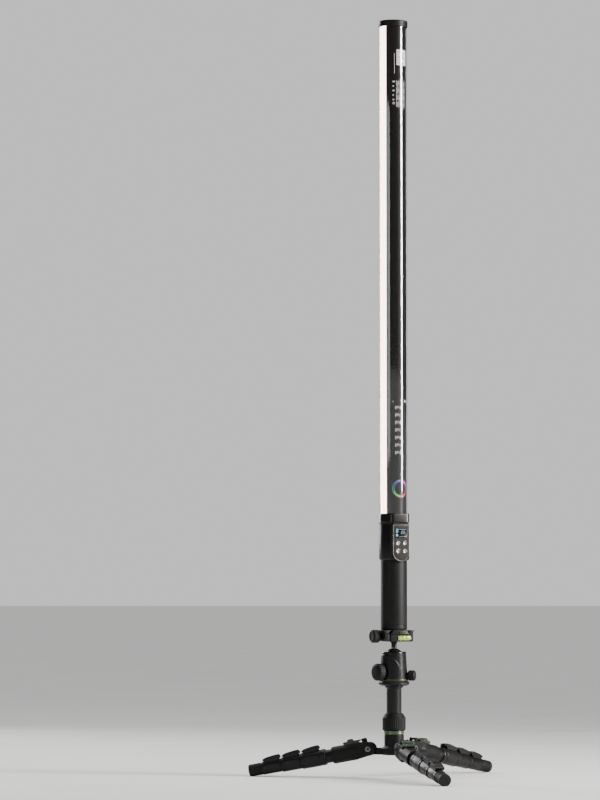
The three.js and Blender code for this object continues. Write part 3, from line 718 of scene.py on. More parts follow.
def panel():
    """The panel plate, its paler raised rim, the screen with generic symbols, and the buttons."""
    front = -POD_FRONT - GAP - 1.6
    plate = bevelled(moved(upright(bezel_outline(0.7), 0.6), y=front + 0.95), 0.3)
    piece("panel_plate", cut(plate, front_cuts(0.2)), PANEL_GREY, HEAD, "light", "panel", "panel_bezel")
    rim = cut(upright(bezel_outline(), 0.75), upright(bezel_outline(1.3), 2))
    piece("panel_rim", bevelled(moved(rim, y=front + 0.78), 0.35, 3), PANEL_RIM, HEAD, "light", "panel")
    width, height = SCREEN_HALF
    glass = upright(box(-width, width, SCREEN_MID - height, SCREEN_MID + height, 1.2), 2.6)
    glass = bevelled(moved(glass, y=front + 3.1), 0.25)
    piece("panel_screen", glass, SCREEN, HEAD, "light", "screen", "display")
    screen_marks(front + 0.5)
    for name, (x, z) in BUTTONS.items():
        button(name, x, z, front - 1)


def screen_marks(skin):
    """Generic symbols: a block of bars at the left, a gauge ring with a pointer at the right, rows below."""
    left, top = -SCREEN_HALF[0] + 2, SCREEN_MID + SCREEN_HALF[1] - 1.8
    bars = []
    for n, length in enumerate((6.5, 4.2, 6.0, 3.6)):
        z = top - 2.1 * n
        bars.append(upright(box(left, left + length, z - 1.2, z, 0.2), 0.03))
    bars.append(upright(box(left, left + 4.4, top - 13.6, top - 9.4, 0.4), 0.03))
    whites = [upright(box(-3.2, 10.6, top - 1.0, top, 0.2), 0.03)]
    ring = arc(4.4, -40, 220, 30, (4, top - 7.4)) + arc(3.4, 220, -40, 30, (4, top - 7.4))
    whites.append(upright(ring, 0.03))
    whites.append(upright(arc(1.3, 0, 360, 16, (4, top - 7.4))[:-1], 0.03))
    for n in range(5):
        x = -3.2 + 2.9 * n
        whites.append(upright(box(x, x + 1.7, top - 14.6, top - 13.4, 0.2), 0.03))
    for group, material, name in ((bars, SCREEN_TEAL, "screen_bars"), (whites, SCREEN_WHITE, "screen_gauge")):
        piece(name, moved(merged(group), y=skin - 0.02), material, HEAD, "light", "screen")


def button(name, x, z, front):
    """A silver button with a dished top, and a small generic symbol printed on it."""
    profile = soft([(0, -8), (4.4, -8), (4.4, -0.8, 1.4), (3.4, 0, 0.6), (2.2, -0.5, 1), (0, -0.75)], 0.3, 6)
    mesh = turned(profile, 48)
    mesh.transform(quarter("X"))
    place = HEAD @ shift(x, front, z)
    piece(f"panel_{name}", mesh, BUTTON_GREY, place, name, "buttons", name)
    symbols = {
        "button_upper_left": arc(1.5, 0, 360, 24) + arc(0.95, 360, 0, 24),
        "button_upper_right": [(-1.3, -0.9), (1.3, -0.9), (0, 1.3)],
        "button_lower_left": box(-1.2, 1.2, -1.2, 1.2, 0.4),
        "button_lower_right": [(-1.3, 0.9), (0, -1.3), (1.3, 0.9)],
    }
    mark = upright(symbols[name], 0.03)
    piece(f"{name}_mark", moved(mark, y=0.7), DARK_INK, place, name, "buttons")


def handle():
    """The battery handle, with an end plug's seam at its foot and a narrow neck under the housing."""
    low, high, r, wall = HANDLE_LOW, HANDLE_HIGH, HANDLE_R, 2.4
    profile = [
        (0, low), (r - 0.6, low, 1.6), (r, low + 3, 0.4), (r, low + 8.6, 0.15), (r - 0.4, low + 8.8, 0.1),
        (r - 0.4, low + 9.4, 0.1), (r, low + 9.6, 0.15), (r, high - 4.2, 0.15), (r - 0.35, high - 4.0, 0.1),
        (r - 0.35, high - 3.2, 0.1), (r, high - 3, 0.2), (r, high, 0.3), (r - wall, high, 0.2),
        (r - wall, low + 4, 0.4), (0, low + 4),
    ]
    mesh = turned(soft(profile, 0.3), 112)
    piece("light_handle", mesh, GRIP, HEAD, "light", "grip_plastic", "handle")


# ---- dovetail plate and clamp

GRIP_HALF = 19.2  # the plate's half width
WAIST_HALF = 15.5
JAW_REACH = 29.0
JAW_LIP = 3.5
FLOOR_TOP = PLATE_LOW - GAP
PLATE_TOP = HANDLE_LOW - GAP
JAW_TOP = PLATE_TOP - GAP
SCREW_Z = FLOOR_TOP - 3.4
CLAMP_HALF = 22.0


def quick_release_plate():
    """The dovetail plate, with a rubber pad under the handle and a black stop pin at each end."""
    half, waist = GRIP_HALF - 0.1, WAIST_HALF - 0.1
    side = [(half, PLATE_LOW), (half, PLATE_LOW + 1), (waist, PLATE_LOW + 4.7), (waist, PLATE_TOP - 1)]
    outline = side + [(-x, z) for x, z in reversed(side)]
    body = bevelled(upright(outline, 25), 0.35)
    piece("plate_body", body, BLACK_METAL, HEAD, "light", "black_anodised", "quick_release_plate")
    pad = flat_shape(box(-waist + 0.4, waist - 0.4, -24.4, 24.4, 2, 5), PLATE_TOP - 1, PLATE_TOP)
    piece("plate_pad", bevelled(pad, 0.25), RUBBER, HEAD, "light", "rubber")
    for side, name in ((-1, "front"), (1, "back")):
        stop = turned(soft([(0, 24.6), (1.7, 24.6), (1.7, 25.6, 0.4), (0, 25.6)], 0.3), 24)
        stop.transform(quarter("X", -side))
        stop = moved(stop, z=PLATE_LOW + 3.4)
        piece(f"plate_stop_{name}", stop, BLACK_METAL, HEAD, "light", "black_anodised")


def jaw_profile(side, low, split):
    """A jaw's outline at +X or -X: the dovetail face, the lip, the outer face and the floor."""
    face = [
        (GRIP_HALF + GAP, FLOOR_TOP), (GRIP_HALF + GAP, PLATE_LOW + 1.5),
        (WAIST_HALF + GAP, PLATE_LOW + 5.2), (WAIST_HALF + GAP, JAW_TOP), (JAW_REACH + JAW_LIP, JAW_TOP),
        (JAW_REACH + JAW_LIP, JAW_TOP - 1), (JAW_REACH, JAW_TOP - 3.6), (JAW_REACH, low + 2),
        (JAW_REACH - 1.4, low), (split, low), (split, FLOOR_TOP),
    ]
    return [(side * x, z) for x, z in face]


def screw_hole():
    return moved(swing(rod(2.7, -45, -6, 32)), z=SCREW_Z)


def clamp_body():
    """The clamp's body with its fixed jaw, a window for the level and two relief grooves in the channel."""
    body = bevelled(upright(jaw_profile(1, CLAMP_LOW, -GRIP_HALF + 1), CLAMP_HALF), 0.5)
    x, reach, height = VIAL
    window = upright(box(x - reach - 0.5, x + reach + 0.5, VIAL_Z - height, VIAL_Z + height, 2), 7)
    outlines = [box(x - 0.6, x + 0.6, FLOOR_TOP - 0.6, FLOOR_TOP + 1, 0.1) for x in (-12.5, 12.5)]
    grooves = [upright(outline, 30) for outline in outlines]
    body = cut(body, moved(window, y=-CLAMP_HALF - 1), screw_hole(), *grooves)
    piece("clamp_base", body, BLACK_METAL, HEAD, "clamp", "black_anodised", "clamp_body")


def clamp_jaw():
    profile = jaw_profile(-1, CLAMP_LOW + 0.5, GRIP_HALF - 1 + GAP)
    jaw = bevelled(upright(profile, CLAMP_HALF - 2), 0.5)
    piece("clamp_moving_jaw", cut(jaw, screw_hole()), BLACK_METAL, HEAD, "jaw", "black_anodised", "clamp_jaw")


def scallops(count, depth, low, high, width=0.5):
    """Rounded flutes between two heights, for a grip."""

    def shape(angle, r, z):
        if not low < z < high or r < 6:
            return r
        wave = abs(sin(angle * count / 2)) ** width
        return r - depth * (1 - wave)

    return shape


def filled(low, high, count):
    return [low + (high - low) * n / count for n in range(count + 1)]


def clamp_knob():
    """The clamp's knob: a fluted rubber grip on a short neck."""
    start, r = JAW_REACH + GAP, 12.2
    neck, end = start + 3.7, start + 18
    profile = [
        (0, 8), (2.2, 8), (2.2, start), (6.2, start, 0.4), (6.2, neck, 0.2), (r - 1.8, neck, 0.8),
        (r, neck + 2.0, 0.8), *[(r, z, 0) for z in filled(neck + 3.2, end - 3.4, 3)], (r, end - 2.2, 1),
        (r - 2.6, end, 1.4), (7.5, end, 0.2), (7.2, end - 0.5, 0.2), (0, end - 0.5),
    ]
    mesh = turned(soft(profile, 0.3), 144, scallops(18, 0.8, neck + 2.2, end - 2.4, 0.7))
    mesh.transform(quarter("Y", -1))
    piece("clamp_screw_knob", moved(mesh, z=SCREW_Z), RUBBER, HEAD, "clamp_screw", "rubber", "clamp_knob")


VIAL = (10.2, 13.5, 5.0)  # across, half length and radius
VIAL_Z = CLAMP_LOW + 6.65


def level_vial():
    """A pale acrylic vial with its green fluid, its bubble and two index rings."""
    across, reach, radius = VIAL
    place = HEAD @ shift(across, -CLAMP_HALF + 2.4, VIAL_Z)
    ends = soft([(0, -reach), (radius - 0.1, -reach), (radius - 0.1, reach), (0, reach)], 1.4)
    piece("vial_tube", along_x(ends, 48), VIAL_GLASS, place, "clamp", "vial", "level_vial")
    fluid = soft([(0, -8.5), (radius - 0.04, -8.5), (radius - 0.04, 8.5), (0, 8.5)], 0.02)
    piece("vial_fluid", along_x(fluid, 48), FLUID, place, "clamp", "vial")
    bubble = soft([(0, -3.0), (1.7, -2.2), (2.0, 0), (1.7, 2.2), (0, 3.0)], 0.8)
    shell = moved(along_x(bubble, 24), y=-2.9, z=1.6)
    piece("vial_bubble", shell, BUBBLE, place, "clamp", "vial")
    rings = []
    for x in (-4, 4):
        band = [(radius - 0.05, x - 0.35), (radius, x - 0.35), (radius, x + 0.35), (radius - 0.05, x + 0.35)]
        rings.append(along_x(band, 48))
    piece("vial_rings", merged(rings), DARK_INK, place, "clamp", "vial")


# ---- ball head

BALL_R = 18.0
CAVITY = BALL_R + 0.5
SOCKET_RIM = 8.7  # height of the cavity's edge over the ball's centre
KNOB_START = 27.2
MAIN_KNOB = (17.3, -172.5)  # height over the housing's foot, and bearing in degrees
PAN_KNOB = (10.8, -40)


def head_base():
    """The round base, with a knurled edge and a shallow top step."""
    low, r, top = BASE_LOW, 28.6, BASE_LOW + 8
    profile = [
        (0, low), (r - 3.8, low, 0.3), (r - 0.6, low + 2.2, 0.8), (r, low + 3.0, 0.3),
        *[(r, z, 0) for z in filled(low + 3.6, top - 2.6, 2)], (r, top - 1.6, 0.5), (r - 1.4, top, 0.4),
        (11, top), (11, top + 6), (0, top + 6),
    ]
    mesh = turned(soft(profile, 0.3), 240, scallops(80, 0.28, low + 3.1, top - 2.0, 1))
    piece("head_base_disc", mesh, TURNED_METAL, HEAD, "column", "black_anodised", "head_base")


def housing_radius(z):
    """The housing's outer radius at a height."""
    rise = (z - HOUSING_LOW) / (HOUSING_HIGH - HOUSING_LOW)
    return 26.55 - 1.1 * min(rise / 0.45, 1) ** 1.2 - 1.95 * max(0, (rise - 0.42) / 0.58) ** 0.9


ARCH_RISE = 1.2  # of the raised arch around the main knob
ARCH_HALF_TURN = radians(85.7)
ARCH_HALF_HEIGHT = 33.0
ARCH_SLOPE = 1.8  # width of the arch's edge


def arch(angle, r, z):
    """A raised arch around the main knob, which gives the housing its long curved edge."""
    if r < CAVITY + 1.5 or z > HOUSING_HIGH - 1.2:
        return r
    turn = (angle - radians(MAIN_KNOB[1]) + pi) % (2 * pi) - pi
    inside = 1 - hypot(turn / ARCH_HALF_TURN, (z - HOUSING_LOW - MAIN_KNOB[0]) / ARCH_HALF_HEIGHT)
    return r - ARCH_RISE * (1 - max(0, min(1, inside * ARCH_HALF_HEIGHT / ARCH_SLOPE)))


def head_housing():
    """The ball's housing: a tapered body with a polished rim, a drop notch and a socket for the ball."""
    low, high = HOUSING_LOW, HOUSING_HIGH
    outer = [(housing_radius(z), z, 0) for z in filled(low + 4.2, high - 1.6, 60)]
    rim = asin(SOCKET_RIM / CAVITY)
    dome = [(CAVITY * cos(a), BALL_Z + CAVITY * sin(a), 0) for a in filled(rim, -0.95, 14)]
    profile = [
        (11.4, low), (26.3, low + 0.0, 0.3), (26.3, low + 3.4, 0.2), (26.0, low + 3.8, 0.1), *outer,
        (23.3, high - 1.4, 0.3), (22.3, high, 0.4), (18.9, high, 0.4), *dome, (11.4, BALL_Z - CAVITY - 3),
    ]
    mesh = turned(soft(profile, 0.3, 3, True), 220, arch, 40)
    notch = arc(6, 180, 360, 24, (0, BALL_Z)) + [(11, high + 1), (-11, high + 1)]
    mesh = cut(mesh, moved(upright(notch, 15), y=25), sharp=40)
    piece("head_housing_body", mesh, BLACK_METAL, HEAD, "head", "black_anodised", "head_housing")
    ring = [(26.0, low + 0.3), (26.55, low + 0.5), (26.55, low + 4.6), (26.0, low + 4.8)]
    scale = turned(soft(ring, 0.15, 2, True), 120)
    piece("head_scale_ring", scale, OLIVE_METAL, HEAD, "head", "black_anodised")
    edge = [(23.25, high - 1.5), (22.35, high + 0.02), (22.05, high + 0.02), (22.95, high - 1.6)]
    polished = cut(turned(soft(edge, 0.1, 2, True), 120), moved(upright(notch, 15), y=25))
    piece("head_rim", polished, POLISHED, HEAD, "head", "black_anodised")


def knob_place(height, bearing):
    """A frame on a head knob's axis: Z runs out of the housing."""
    turn = Matrix.Rotation(radians(bearing), 4, "Z") @ quarter("Y")
    return HEAD @ shift(z=HOUSING_LOW + height) @ turn


def head_knobs():
    """Both lock knobs: rubber grips over a collar, with a domed end, each on its boss."""
    boss = soft([(0, 20.5), (9, 20.5), (9, 26.9, 0.5), (0, 26.9)], 0.3)
    place = knob_place(*MAIN_KNOB)
    piece("main_knob_boss", turned(boss, 64), BLACK_METAL, place, "head", "black_anodised")
    r, start, end = 16.0, KNOB_START, KNOB_START + 16.4
    profile = [
        (0, 22), (3, 22), (3, start), (r - 3.4, start, 0.6), (r - 0.4, start + 2.2, 0.8),
        *[(r, z, 0) for z in filled(start + 3.6, end - 4.6, 4)], (r - 0.5, end - 3.2, 0.8),
        (r - 3.4, end - 0.9, 1.5), (10.4, end - 0.3, 0.2), (10.1, end - 0.8, 0.2), (9.8, end - 0.3, 0.2),
        (6, end - 0.06, 2), (0, end),
    ]
    mesh = turned(soft(profile, 0.4, 5), 180, scallops(18, 0.6, start + 2.8, end - 3.8, 0.8))
    piece("main_knob_grip", mesh, RUBBER, place, "main_knob", "rubber", "main_lock_knob")
    place = knob_place(*PAN_KNOB)
    small_boss = soft([(0, 20.5), (6, 20.5), (6, 26.9, 0.4), (0, 26.9)], 0.3)
    piece("pan_knob_boss", turned(small_boss, 48), BLACK_METAL, place, "head", "black_anodised")
    r, end = 9.8, KNOB_START + 13.8
    profile = [
        (0, 22), (2.4, 22), (2.4, start), (r - 2.2, start, 0.5), (r - 0.2, start + 1.8, 0.6),
        *[(r, z, 0) for z in filled(start + 3, end - 3.4, 3)], (r - 0.4, end - 2.2, 0.6),
        (r - 2.4, end - 0.4, 1), (4, end - 0.05, 1), (0, end),
    ]
    mesh = turned(soft(profile, 0.4, 5), 144, scallops(16, 0.7, start + 2.2, end - 2.8, 0.8))
    piece("pan_knob_grip", mesh, RUBBER, place, "pan_knob", "rubber", "pan_lock_knob")


def ball_and_stem():
    """The ball, hard anodised, and the stem that carries the clamp."""
    place = HEAD @ shift(z=BALL_Z)
    outline = [(BALL_R * sin(a), -BALL_R * cos(a)) for a in filled(0, pi, 48)]
    outline[0], outline[-1] = (0, -BALL_R), (0, BALL_R)
    piece("ball_sphere", turned(outline, 96), TURNED_METAL, place, "ball", "black_anodised", "ball")
    low, high = STEM_LOW, STEM_HIGH - 5
    profile = [
        (0, low), (5.7, low, 0.2), (5.05, low + 1.6, 0.8), (5.05, high - 3.6, 1.2), (7.0, high - 0.6, 0.4),
        (7.0, high, 0.1), (4, high), (4, high + 5), (0, high + 5),
    ]
    mesh = turned(soft(profile, 0.3), 64)
    piece("ball_stem_neck", mesh, TURNED_METAL, HEAD, "stem", "black_anodised", "ball_stem")


# ---- column and hub

COLUMN_R = 14.0
HUB_R = 18.3
HINGE_Z = Vector(JOINTS["front_leg_fold"]["pos_m"]).z / MM
HINGE_R = (Vector(JOINTS["front_leg_fold"]["pos_m"]) - AXIS_FOOT).xy.length / MM


def column():
    """The centre column, with a flared top plate and a soft plug at its foot."""
    low, high, r = COLUMN_LOW, COLUMN_HIGH, COLUMN_R
    profile = [
        (0, high), (16.8, high, 0.3), (16.8, high - 2.2, 0.4), (r + 0.1, high - 5.2, 0.6),
        (r, high - 6.4, 0.2), (r, low, 0.5), (r - 1.6, low, 0.3), (r - 1.6, high - 8, 0.3), (0, high - 7),
    ]
    mesh = turned(soft(profile, 0.3), 96)
    piece("column_tube", mesh, TURNED_METAL, COLUMN, "column", "black_anodised", "center_column")


def lock_ring():
    """The column's twist lock: a ribbed rubber grip under a tapered shoulder."""
    low, high, r = LOCK_LOW, LOCK_HIGH, 21.7
    profile = [
        (COLUMN_R + 0.6, low), (r - 1.4, low, 0.4), (r - 0.2, low + 1.6, 0.5),
        *[(r, z, 0) for z in filled(low + 2.6, high - 9.4, 6)], (r, high - 8.0, 0.5),
        (r - 1.2, high - 6.6, 0.6), (r - 4.8, high - 0.6, 0.8), (r - 5.6, high, 0.3),
        (COLUMN_R + 0.6, high),
    ]
    mesh = turned(soft(profile, 0.3, 4, True), 216, scallops(36, 0.55, low + 2, high - 8.8, 0.6))
    piece("column_lock_grip", mesh, RUBBER, COLUMN, "column_lock", "rubber", "column_lock_ring")


def hub():
    """The spider: a sleeve with a skirt and three arms, each with a round eye for its leg's hinge."""
    bore, low = COLUMN_R + 0.4, HUB_LOW
    sleeve = turned([(bore, low), (HUB_R, low), (HUB_R, HUB_HIGH - 7.4), (bore, HUB_HIGH - 7.4)], 96)
    skirt = turned([(bore, low), (22.6, low), (23.6, low + 12), (19.4, low + 16), (bore, low + 16)], 96)
    body = joined(sleeve, skirt)
    for leg in LEGS:
        across = Vector(JOINTS[f"{leg}_fold"]["axis"])
        bearing = atan2(-across.x, across.y)
        arm = [(bore + 1.5, low + 0.3), (HINGE_R - 9, low + 0.3)]
        arm += arc(7.5, -118, 90, 20, (HINGE_R, HINGE_Z))
        arm += [(HINGE_R - 14, low + 12.8), (bore + 1.5, low + 13)]
        mesh = upright(arm, 7)
        mesh.transform(Matrix.Rotation(bearing, 4, "Z"))
        body = joined(body, mesh)
    piece("hub_spider", cast(body, 0.6, 5), CAST_METAL, COLUMN, "hub", "black_anodised", "hub")
    top = HUB_HIGH
    band = [
        (bore, top - 7), (HUB_R + 0.3, top - 7, 0.2), (HUB_R + 0.6, top - 6.4, 0.2),
        (HUB_R + 0.6, top - 4.2, 0.1), (HUB_R + 0.3, top - 4.0, 0.1), (HUB_R + 0.3, top - 3.4, 0.1),
        (HUB_R + 0.6, top - 3.2, 0.1), (HUB_R + 0.6, top - 0.6, 0.3), (HUB_R, top, 0.2), (bore, top),
    ]
    ring = turned(soft(band, 0.2, 3, True), 120)
    # the accent ring's greenish gunmetal colour carries a painted highlight: the whole ring is as light as
    # its highlight
    piece("hub_accent_ring", ring, ACCENT_RING_PAINTED_HIGHLIGHT, COLUMN, "hub", "black_anodised")


# ---- legs

TUBE_RADII = [12.5 - n * 1.5 for n in range(4)]
FOOT_START, LEG_LENGTH, FOOT_R = 207.3, 232.0, 11.5
COLLAR_LENGTH, LEVER_LENGTH = 37.8, 34.5
COLLAR_STARTS = [FOOT_START - 0.5 - 38.4 * (2 - n) - COLLAR_LENGTH for n in range(3)]
RIM = 2.7  # a collar over its tube


def shoulder_mesh():
    """The casting at a leg's top: two ears around the hub's eye and a barrel that holds the upper tube."""
    ears = arc(12.6, 90, 270, 28) + [(22, -14.9), (34, -14.9), (34, 14.9), (6, 14.9)]
    body = upright(ears, 12.9)
    barrel = [(0, 18), (13.5, 18), (15.9, 24.5), (15.9, 69.6), (0, 69.6)]
    body = joined(body, along_x(barrel, 64))
    for side in (-1, 1):
        boss = upright(arc(8.6, 0, 360, 40)[:-1], 1.0)
        lug = upright(soft([(2.4, 10), (9.6, 10), (9.6, 21.4), (2.4, 21.4)], 2.4, 4, True), 1.6)
        body = joined(body, moved(boss, y=side * 12.4), moved(lug, y=side * 6.6))
    slot = upright([(-20, -25), (13.5, -25), (13.5, 9), (-20, 9)], 7.3)
    socket = along_x([(0, 24), (12.8, 24), (12.8, 80), (0, 80)], 64)
    return cast(cut(body, slot, socket), 0.62, 4)


def tab_mesh():
    """The flip tab that frees the angle stop: a saddle over the barrel with a ribbed thumb ridge."""
    low, high = 17.7, 20.2
    side = [
        (4.2, low), (17, low), (17, 13.6), (43, 13.6), (46, low), (46, low + 1.4, 0.8), (44.5, high, 0.8),
        (38, high), (36.4, high + 3.4, 0.6), (35.2, high + 4, 0.3), (34.2, high + 3.2, 0.3),
        (33.2, high + 4, 0.3), (32, high + 3.2, 0.3), (30.8, high + 4, 0.3), (29, high + 3, 0.6),
        (27, high), (4.2, high),
    ]
    mesh = upright(soft(side, 0.6, 3, True), 8)
    for y in (-1, 1):
        beside = box(0, 12.4, min(4.6 * y, 12 * y), max(4.6 * y, 12 * y), 0.2)
        mesh = cut(mesh, flat_shape(beside, 10, 30))
    mesh = cut(mesh, along_x([(0, 10), (16.35, 10), (16.35, 60), (0, 60)], 96))
    pin = moved(swing(rod(2.15, -4.6, 4.6, 32), "Y"), x=6, z=18.9)
    return cast(joined(mesh, pin), 0.4, 2)


def hinge_bolt_mesh():
    """A bolt head with a hexagon socket."""
    head = turned(soft([(0, 0), (5.2, 0), (5.2, 1.4, 0.5), (0, 1.4)], 0.3), 48)
    socket = flat_shape(arc(2.3, 0, 360, 6)[:-1], 0.3, 3)
    return cut(head, socket)


def section_mesh(n):
    """A leg tube with the lock collar on its lower end, a seam near the collar's end, and the lever's lug."""
    tube, rim = TUBE_RADII[n], TUBE_RADII[n] + RIM
    bore, start = tube - 1.15, COLLAR_STARTS[n]
    end = start + COLLAR_LENGTH
    nest = 25.3 if n == 0 else 25 + 4 * n
    sleeve = start - (9 if n == 0 else 0)
    profile = [(bore, nest), (tube, nest), (tube, sleeve - 0.4, 0.2)]
    if n == 0:
        profile += [(rim - 0.6, sleeve, 0.5), (rim - 0.1, sleeve + 2, 0.4), (rim - 0.1, start - 1.0, 0.2)]
        profile += [(rim - 0.7, start - 0.7, 0.2), (rim - 0.7, start + 0.1, 0.2)]
    profile += [(rim - 0.4, start + 0.2, 0.2), (rim, start + 1.2, 0.3), (rim, end - 6.2, 0.2)]
    profile += [(rim - 0.6, end - 5.9, 0.1)]
    profile += [(rim - 0.6, end - 5.1, 0.1), (rim, end - 4.8, 0.2), (rim, end - 0.9, 0.3)]
    profile += [(rim - 0.5, end, 0.2), (bore, end)]
    body = along_x(soft(profile, 0.3, 3, True), 64)
    pivot = start + 5
    lug = upright(box(pivot - 2.3, pivot + 2.3, tube + 1, rim + 6.3, 1.4, 4), 3.2)
    return joined(body, lug)


def lowest_tube_mesh():
    r = TUBE_RADII[3]
    corners = [(r - 1.15, 37), (r, 37), (r, LEG_LENGTH - 8.3), (r - 1.15, LEG_LENGTH - 8.3)]
    return along_x(soft(corners, 0.2, 2, True), 56)


def lever_mesh(n):
    """A lock lever: a round cam root, a back falling to a ribbed thumb tip, and cheeks round the collar."""
    rim, start = TUBE_RADII[n] + RIM, COLLAR_STARTS[n]
    end, top, low, pivot = start + LEVER_LENGTH, rim + 9, rim - 5, start + 5
    side = [
        (pivot, low, 0), (end - 8, low, 2), (end, rim + 2, 1), (end, top - 5.2, 1.2),
        (end - 3, top - 3.9, 0.4),
    ]
    for step in range(3):
        x, z = end - 4.2 - 2.2 * step, top - 3.7 + 0.5 * step
        side += [(x, z, 0.2), (x - 0.3, z + 0.75, 0.3), (x - 1.2, z + 0.9, 0.3), (x - 1.5, z + 0.2, 0.2)]
    side += [(end - 13, top - 1.5, 4), (pivot + 3, top, 6), (pivot - 1.2, top, 1.6)]
    cam = [(x, z, 0) for x, z in arc(3.9, 175, 270, 10, (pivot, rim + 4.3))]
    mesh = upright(soft([*side, *cam], 0.3, 4, True), 8.5)
    slot = upright(box(start - 2, pivot + 6, rim - 3, rim + 7.5, 0.1), 3.5)
    collar = along_x([(0, start - 2), (rim + GAP, start - 2), (rim + GAP, end + 2), (0, end + 2)], 96)
    return cast(cut(mesh, slot, collar), 0.45, 3)


def pin_mesh(n):
    """A lever's pivot pin, seen at both ends."""
    rim, pivot = TUBE_RADII[n] + RIM, COLLAR_STARTS[n] + 5
    pin = swing(turned(soft([(0, -8.45), (1.5, -8.45), (1.5, 8.45), (0, 8.45)], 0.2), 24), "Y")
    return moved(pin, x=pivot, z=rim + 4.3)


def foot_mesh():
    """A rubber foot with grip grooves, cut flat where it meets the floor."""
    r, start, end = FOOT_R, FOOT_START, LEG_LENGTH
    profile = [(TUBE_RADII[3] + GAP, start), (r - 0.9, start, 0.5), (r, start + 1.6, 0.6)]
    for groove in range(3):
        x = start + 6 + 4.2 * groove
        profile += [(r, x, 0.2), (r - 0.6, x + 0.4, 0.2), (r - 0.6, x + 1.0, 0.2), (r, x + 1.4, 0.2)]
    profile += [(r, end - 2.6, 0), (r, end, 2.2), (0, end), (0, end - 8), (TUBE_RADII[3] + GAP, end - 8)]
    foot = along_x(soft(profile, 0.3, 5), 72)
    down = leg_frame(LEGS[0]).inverted()
    floor = down @ Vector((0, 0, 0))
    up = (down.to_3x3() @ Vector((0, 0, 1))).normalized()
    edit = bmesh.new()
    edit.from_mesh(foot)
    everything = [*edit.verts, *edit.edges, *edit.faces]
    cut = bmesh.ops.bisect_plane(edit, geom=everything, plane_co=floor, plane_no=up, clear_inner=True)
    bmesh.ops.contextual_create(edit, geom=[e for e in cut["geom_cut"] if isinstance(e, bmesh.types.BMEdge)])
    edit.to_mesh(foot)
    edit.free()
    shade(foot, 35)
    return foot


def legs():
    """Each mesh is made once and used by all three legs."""
    shoulder, tab, bolt = shoulder_mesh(), tab_mesh(), hinge_bolt_mesh()
    lowest, foot = lowest_tube_mesh(), foot_mesh()
    sections = [section_mesh(n) for n in range(3)]
    levers = [lever_mesh(n) for n in range(3)]
    pins = [pin_mesh(n) for n in range(3)]
    for leg in LEGS:
        place = leg_frame(leg)
        piece(f"{leg}_casting", shoulder, CAST_METAL, place, leg, "black_anodised", f"{leg}_shoulder")
        piece(f"{leg}_tab", tab, TAB_METAL, place, f"{leg}_tab", "black_anodised", f"{leg}_angle_tab")
        for side, name in ((-1, "right"), (1, "left")):
            at = place @ shift(y=side * 13.1) @ quarter("X", -side)
            piece(f"{leg}_bolt_{name}", bolt, STEEL, at, leg, "black_anodised")
        owners = (leg, f"{leg}_section_2", f"{leg}_section_3")
        for n, part in enumerate(("upper", "second", "third")):
            section = f"{leg}_{part}_tube"
            piece(f"{leg}_{part}_section", sections[n], TUBE_METAL, place, owners[n], "leg_tube", section)
            lock, lever = f"{leg}_{part}_lock", f"{leg}_{part}_lever"
            piece(f"{leg}_{part}_flip", levers[n], PLASTIC, place, lock, "black_plastic", lever)
            piece(f"{leg}_{part}_pin", pins[n], STEEL, place, lock, "black_plastic")
        last = f"{leg}_section_4"
        piece(f"{leg}_lowest_section", lowest, TUBE_METAL, place, last, "leg_tube", f"{leg}_lowest_tube")
        piece(f"{leg}_rubber_foot", foot, RUBBER, place, last, "rubber", f"{leg}_foot")


# ---- inner pieces kept from the CAD


def inner_pieces():
    for name, material in (("battery_pack", CELL_WRAP), ("circuit_board", BOARD), ("led_board", BOARD)):
        paint(frame["nodes"][name].data, material)


# ---- floor, light and camera


FLOOR_R = 60000  # far enough for a level horizon
LAMP_SPREAD = radians(100)


def stage():
    """A round pale floor that runs far out on every side."""
    material, tree, shader = new_material("pale_floor")
    tone = mixed(tree, ranged(tree, noise(tree, 3, 4), 0, 1), (0.74, 0.73, 0.72), (0.78, 0.77, 0.76))
    wire(tone, shader.inputs["Base Color"])
    shader.inputs["Roughness"].default_value = 0.7
    bumped(tree, shader, noise(tree, 120, 3), 0.05, 0.5)
    edge = [(x, y, 0) for x, y in arc(FLOOR_R, 0, 360, 96)[:-1]]
    mesh = mesh_of(edge, [tuple(range(len(edge)))])
    mesh.materials.append(material)
    link("floor", mesh)


def area(name, place, target, size, power, colour=(1, 1, 1)):
    """A rectangular soft box aimed at a point."""
    data = bpy.data.lights.new(name, "AREA")
    data.shape = "RECTANGLE"
    data.size, data.size_y = size
    data.energy = power
    data.color = colour
    data.spread = LAMP_SPREAD
    obj = link(name, data)
    obj.location = place
    obj.rotation_euler = (Vector(target) - Vector(place)).to_track_quat("-Z", "Y").to_euler()
    obj.visible_camera = False


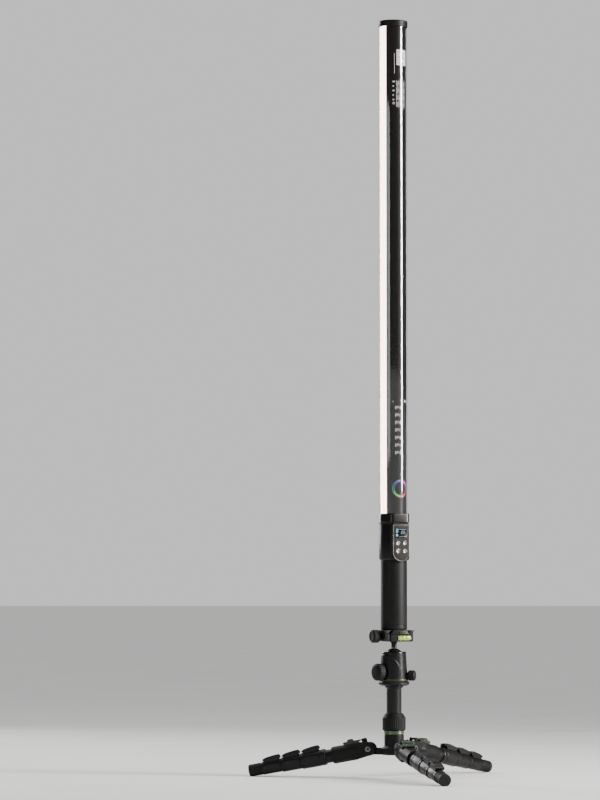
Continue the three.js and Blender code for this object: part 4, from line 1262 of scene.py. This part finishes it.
VIEW_TURN = radians(-17.3)  # the camera's bearing, against the row frame
CAMERA_LENS = 149.13
CAMERA_REACH = 100
CAMERA_BACK, CAMERA_LEFT, CAMERA_UP = 6.174, 0.2107, 0.3514  # metres
CAMERA_RISE = radians(3.25)  # it looks a little up
CAMERA_TURN = radians(-0.335)  # and a little to the right of the column's bearing


def from_camera(right, forward, up):
    """A point given by its distances to the column's right, behind it and up, as the camera sees it."""
    turn = Matrix.Rotation(VIEW_TURN, 4, "Z")
    return AXIS_FOOT + turn @ Vector((right, forward, up))


def lights():
    """A tall key at the right for the long gloss on the tube, a soft fill, a rim and an even overhead."""
    middle = from_camera(0, 0, 0.7)
    area("key", from_camera(2.48, -0.83, 1.3), middle, (0.5, 2.2), 80, (1, 0.98, 0.96))
    area("fill", from_camera(-2.4, -2.6, 1.2), middle, (1.6, 2.0), 7, (0.97, 0.98, 1))
    sky = bpy.data.lights.new("overhead", "SUN")
    sky.energy = 2.1
    sky.angle = radians(50)
    link("overhead", sky).rotation_euler = (radians(-14), 0, VIEW_TURN)
    area("rim", from_camera(-1.6, 2.2, 1.4), middle, (0.5, 2.0), 20)


def backdrop():
    """A pale studio around the light, dim enough in reflections for black parts to stay black."""
    world = bpy.data.worlds.new("studio")
    world.use_nodes = True
    tree = world.node_tree
    shown = node(tree, "LightPath")
    tone = tree.nodes["Background"]
    tone.inputs["Color"].default_value = (0.9, 0.9, 0.91, 1)
    wire(ranged(tree, shown.outputs["Is Camera Ray"], 0.09, 0.85, 0, 1), tone.inputs["Strength"])
    bpy.context.scene.world = world


def camera():
    data = bpy.data.cameras.new("camera")
    data.sensor_width = 36
    data.lens = CAMERA_LENS
    data.clip_end = CAMERA_REACH
    obj = link("camera", data)
    obj.location = from_camera(-CAMERA_LEFT, -CAMERA_BACK, CAMERA_UP)
    obj.rotation_euler = (radians(90) + CAMERA_RISE, 0, VIEW_TURN + CAMERA_TURN)
    bpy.context.scene.camera = obj


PARTS = (end_cap, clear_tube, diffuser, opaque_back, back_print, collar_ring, control_housing, panel, handle)
PARTS += (quick_release_plate, clamp_body, clamp_jaw, clamp_knob, level_vial)
PARTS += (head_base, head_housing, head_knobs, ball_and_stem, column, lock_ring, hub, legs, inner_pieces)
for make in (*PARTS, stage, lights, backdrop, camera):
    make()
